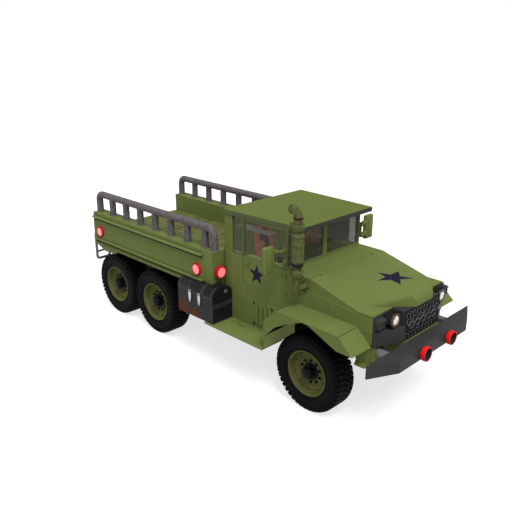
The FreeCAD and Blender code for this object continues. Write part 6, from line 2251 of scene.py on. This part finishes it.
@dataclass
class Chest:
    """Stowage chest's straps, latches, lock ring and feet.

    Attributes:
        rear: Place of the rear end.
        front: Place of the front end.
        inner: Place of the wall beside the cab.
        outer: Place of the wall that carries the latches.
        seam: Height of the lid's seam.
        latch_x: Places of the latches along the chest.
    """

    palette: Palette
    rear: float = -0.533
    front: float = 0.298
    inner: float = -0.850
    outer: float = -1.250
    seam: float = 1.203
    latch_x: tuple[float, float] = (-0.231, -0.013)

    def sweep(self, name: str, x: float, points: Sequence[tuple[float, float]], wide: float,
              proud: float) -> Piece:
        """Strip laid over (y, z) points, then thickened outward."""
        piece = Piece.trace(name, [(x - wide / 2, y, z) for y, z in points])
        bpy.ops.mesh.select_all(action="SELECT")
        bpy.ops.mesh.extrude_region_move(TRANSFORM_OT_translate={"value": (wide, 0, 0)})
        piece.sound()
        return piece.modify("SOLIDIFY", thickness=proud, offset=0)

    def lid_profile(self) -> list[tuple[float, float]]:
        """Outer (y, z) line of the lid, from its outer edge over the top to its hinge."""
        ends = [v.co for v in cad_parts["chest_lid"].data.vertices if v.co.x > self.front - 0.0015]
        points = sorted({(round(c.y, 4), round(c.z, 4)) for c in ends})
        top: dict[float, float] = {}
        for y, z in points:
            top[y] = max(z, top.get(y, 0.0))
        line = [(y, z) for y, z in sorted(top.items()) if z > self.seam + 0.003]
        return [(self.outer - 0.0005, self.seam + 0.004)] + line

    def straps(self) -> Piece:
        """Thin pressed lines over the lid and down the face."""
        line = self.lid_profile()
        pieces = [self.sweep("line", x, line, wide, 0.004) for x, wide in
                  ((-0.500, 0.008), (-0.285, 0.008), (0.030, 0.008), (0.062, 0.008), (0.262, 0.008))]
        return joined("chest_straps", pieces).smooth(45)

    def lines(self) -> Piece:
        """Lines on the body: under the seam, round the ends and at the foot."""
        y = self.outer
        pieces = [Piece.block("line", (self.rear, y - 0.003, self.seam - 0.010),
                              (self.front, y + 0.001, self.seam - 0.004), 0.001, 1)]
        for z in (1.087, 1.051, 0.800):
            pieces.append(Piece.block("line", (self.front - 0.001, self.outer + 0.004, z - 0.004),
                                      (self.front + 0.004, self.inner - 0.004, z + 0.004), 0.0015, 1))
        return joined("chest_lines", pieces)

    def latch(self, x: float) -> Piece:
        """Tapered silver latch blade with its eye."""
        y = self.outer - 0.004
        outline = [(x - 0.028, y, 1.212), (x + 0.028, y, 1.212), (x + 0.031, y, 1.160), (x + 0.024, y, 1.065),
                   (x + 0.008, y, 1.012), (x - 0.008, y, 1.012), (x - 0.024, y, 1.065), (x - 0.031, y, 1.160)]
        return Piece.slab("chest_latches", outline, (0, -0.009, 0), 0.003, 2).smooth(35)

    def fittings(self) -> Piece:
        """Black latch housings, hinge knuckles, feet and rivets."""
        pieces = []
        for x in self.latch_x:
            y = self.outer
            pieces.append(Piece.block("house", (x - 0.042, y - 0.004, 1.020), (x + 0.042, y + 0.001, 1.198),
                                      0.002, 1))
            pieces.append(Piece.rod("pin", (x - 0.040, y - 0.010, 1.192), (x + 0.040, y - 0.010, 1.192),
                                    0.009, sides=18, bevel=0.002))
        for x in (self.rear + 0.10, self.front - 0.10):
            pieces.append(Piece.block("foot", (x - 0.04, self.outer + 0.02, 0.775),
                                      (x + 0.04, self.inner - 0.02, 0.790), 0.003))
        spots = [((x, self.outer - 0.0005, z), OUT) for x in (self.rear + 0.03, self.front - 0.03)
                 for z in (0.83, 0.98, 1.13)]
        return joined("chest_fittings", [*pieces, Fasteners.spread("rivets", Fasteners(0.016).rivet(),
                                                                   spots)]).smooth(35)

    def lock(self) -> Piece:
        """Small bright lock ring on the lid's front end."""
        profile = [(0.012, 0.0), (0.026, 0.0), (0.028, 0.003), (0.026, 0.006), (0.012, 0.006), (0.012, 0.0)]
        return Piece.lathe("chest_lock", profile, (self.front, -0.955 - 0.02, 1.262), Axis.X, 28).smooth(40)

    def build(self) -> None:
        """Model and dress the chest's fittings."""
        p = self.palette
        self.straps().paint(p.chest_line).fix("lid", Slot.CHARCOAL)
        self.lock().paint(p.steel).fix("lid", Slot.CHROME)
        self.lines().paint(p.chest_line).fix(ROOT, Slot.CHARCOAL)
        joined("chest_latches", [self.latch(x) for x in self.latch_x]).paint(p.latch).fix("lid", Slot.CHROME)
        self.fittings().paint(p.trim).fix(ROOT, Slot.BLACK_TRIM)


@dataclass
class Underneath:
    """Air tank and shock absorbers."""

    palette: Palette

    def tanks(self) -> Piece:
        """Air reservoir with domed ends and straps, hung inside the left rail."""
        profile = [(0.0, -0.330), (0.060, -0.322), (0.100, -0.296), (0.112, -0.262)]
        for x in (-0.18, 0.16):
            profile += [(0.112, x), (0.1155, x + 0.002), (0.1155, x + 0.028), (0.112, x + 0.030)]
        profile += [(0.112, 0.262), (0.100, 0.296), (0.060, 0.322), (0.0, 0.330)]
        return Piece.lathe("air_tank", profile, (0.30, -0.600, 0.930), Axis.X, 36).smooth(40)

    def shocks(self) -> Piece:
        """Front shock absorbers."""
        profile = [(0.0, 0.0), (0.018, 0.0), (0.022, 0.012), (0.022, 0.03), (0.034, 0.034), (0.034, 0.230),
                   (0.030, 0.236), (0.014, 0.238), (0.014, 0.300), (0.022, 0.304), (0.022, 0.330),
                   (0.0, 0.330)]
        shock = Piece.lathe("shock", profile, ORIGIN, Axis.Z, 28).smooth(38)
        return shock.moved(facing((1.83, -0.480, 0.640), (-0.12, 0.06, 1)))

    def build(self) -> None:
        """Model and dress the pieces."""
        p = self.palette
        self.tanks().paint(p.chassis).fix(ROOT, Slot.DARK_STEEL)
        twin(self.shocks()).paint(p.chassis).fix(ROOT, Slot.DARK_STEEL)


PARTS = (Wheels, Panels, Panes, Headlamps, Grille, Bumper, MarkerLamps, Apron, SideLines, Doors, CabInside,
         Seats, Mirrors, Stack, Bed, Chest, Underneath)


# ------------------------------------------------------------------ studio
@dataclass
class Studio:
    """Camera, lamps, white surroundings and a pale floor that keeps the shadow.

    Attributes:
        eye: Camera's place.
        angles: Camera's rotation in degrees.
        lens: Focal length in millimetres.
        key: Sun's strength.
        key_from: Direction towards the sun.
        key_spread: Width of the sun's disc in degrees.
        ambient: Strength of the surrounding light.
        floor_size: Length of the floor's edge.
        floor_grey: Share of the light that the floor sends back.
        floor_light: Light that the camera alone sees on the floor.
    """

    eye: tuple[float, float, float] = (6.7868, -6.8075, 4.9008)
    angles: tuple[float, float, float] = (70.572, 0.0, 45.052)
    lens: float = 43.60
    key: float = 2.1
    key_from: tuple[float, float, float] = (0.45, -0.25, 0.857)
    key_spread: float = 24
    ambient: float = 0.66
    floor_size: float = 160
    floor_grey: float = 0.45
    floor_light: float = 0.70

    def camera(self) -> None:
        """Set up the camera."""
        data = bpy.data.cameras.new("camera")
        data.lens, data.sensor_width, data.clip_end = self.lens, 36.0, 200.0
        camera = bpy.data.objects.new("camera", data)
        bpy.context.scene.collection.objects.link(camera)
        camera.location = self.eye
        camera.rotation_euler = [math.radians(a) for a in self.angles]
        bpy.context.scene.camera = camera

    def lamps(self) -> None:
        """Set up a wide sun and even surroundings."""
        data = bpy.data.lights.new("key", "SUN")
        data.energy, data.angle = self.key, math.radians(self.key_spread)
        lamp = bpy.data.objects.new("key", data)
        bpy.context.scene.collection.objects.link(lamp)
        lamp.rotation_euler = Vector(self.key_from).to_track_quat("Z", "Y").to_euler()
        world = bpy.data.worlds.new("studio")
        world.use_nodes = True
        tree = world.node_tree
        tree.nodes.clear()
        output = tree.nodes.new("ShaderNodeOutputWorld")
        path = tree.nodes.new("ShaderNodeLightPath")
        mix = tree.nodes.new("ShaderNodeMixShader")
        around = tree.nodes.new("ShaderNodeBackground")
        white = tree.nodes.new("ShaderNodeBackground")
        around.inputs[0].default_value, around.inputs[1].default_value = (1, 1, 1, 1), self.ambient
        white.inputs[0].default_value, white.inputs[1].default_value = (1, 1, 1, 1), 1.0
        seen = path.outputs["Is Camera Ray"]
        most = tree.nodes.new("ShaderNodeMath")
        most.operation = "MAXIMUM"
        tree.links.new(seen, most.inputs[0])
        tree.links.new(path.outputs["Is Transmission Ray"], most.inputs[1])
        tree.links.new(most.outputs[0], mix.inputs[0])
        tree.links.new(around.outputs[0], mix.inputs[1])
        tree.links.new(white.outputs[0], mix.inputs[2])
        tree.links.new(mix.outputs[0], output.inputs[0])
        bpy.context.scene.world = world

    def floor(self) -> None:
        """Lay the floor: a lit pale floor that the lamps bring to white, so only the shadow shows."""
        bpy.ops.object.select_all(action="DESELECT")
        bpy.ops.mesh.primitive_plane_add(size=self.floor_size, location=ORIGIN)
        floor = bpy.context.object
        floor.name = floor.data.name = "studio_floor"
        g = Graph("studio_floor")
        g.tree.nodes.remove(g.shader)
        path = g.add("ShaderNodeLightPath")
        lit = g.add("ShaderNodeBsdfDiffuse", {}, {"Color": (self.floor_grey,) * 3})
        seen = g.add("ShaderNodeEmission", {}, {"Color": (1, 1, 1), "Strength": self.floor_light})
        shown = g.add("ShaderNodeAddShader")
        g.link(lit.outputs[0], shown.inputs[0])
        g.link(seen.outputs[0], shown.inputs[1])
        mix = g.add("ShaderNodeMixShader")
        rays = Sock(g, path.outputs["Is Camera Ray"])
        for ray in ("Is Glossy Ray", "Is Transmission Ray"):
            rays = rays.most(Sock(g, path.outputs[ray]))
        g.link(rays.socket, mix.inputs[0])
        g.link(lit.outputs[0], mix.inputs[1])
        g.link(shown.outputs[0], mix.inputs[2])
        g.link(mix.outputs[0], g.output.inputs[0])
        floor.data.materials.append(g.material)

    def build(self) -> None:
        """Set up the whole studio."""
        self.camera()
        self.lamps()
        self.floor()
        bpy.context.scene.view_settings.view_transform = "Standard"


def main() -> None:
    """Build the truck's looks in order."""
    logging.basicConfig(level=logging.INFO, format="%(message)s")
    palette = Palette()
    for part in PARTS:
        LOG.info("building %s", part.__name__)
        part(palette).build()
    Studio().build()


if __name__ == "__main__":
    main()
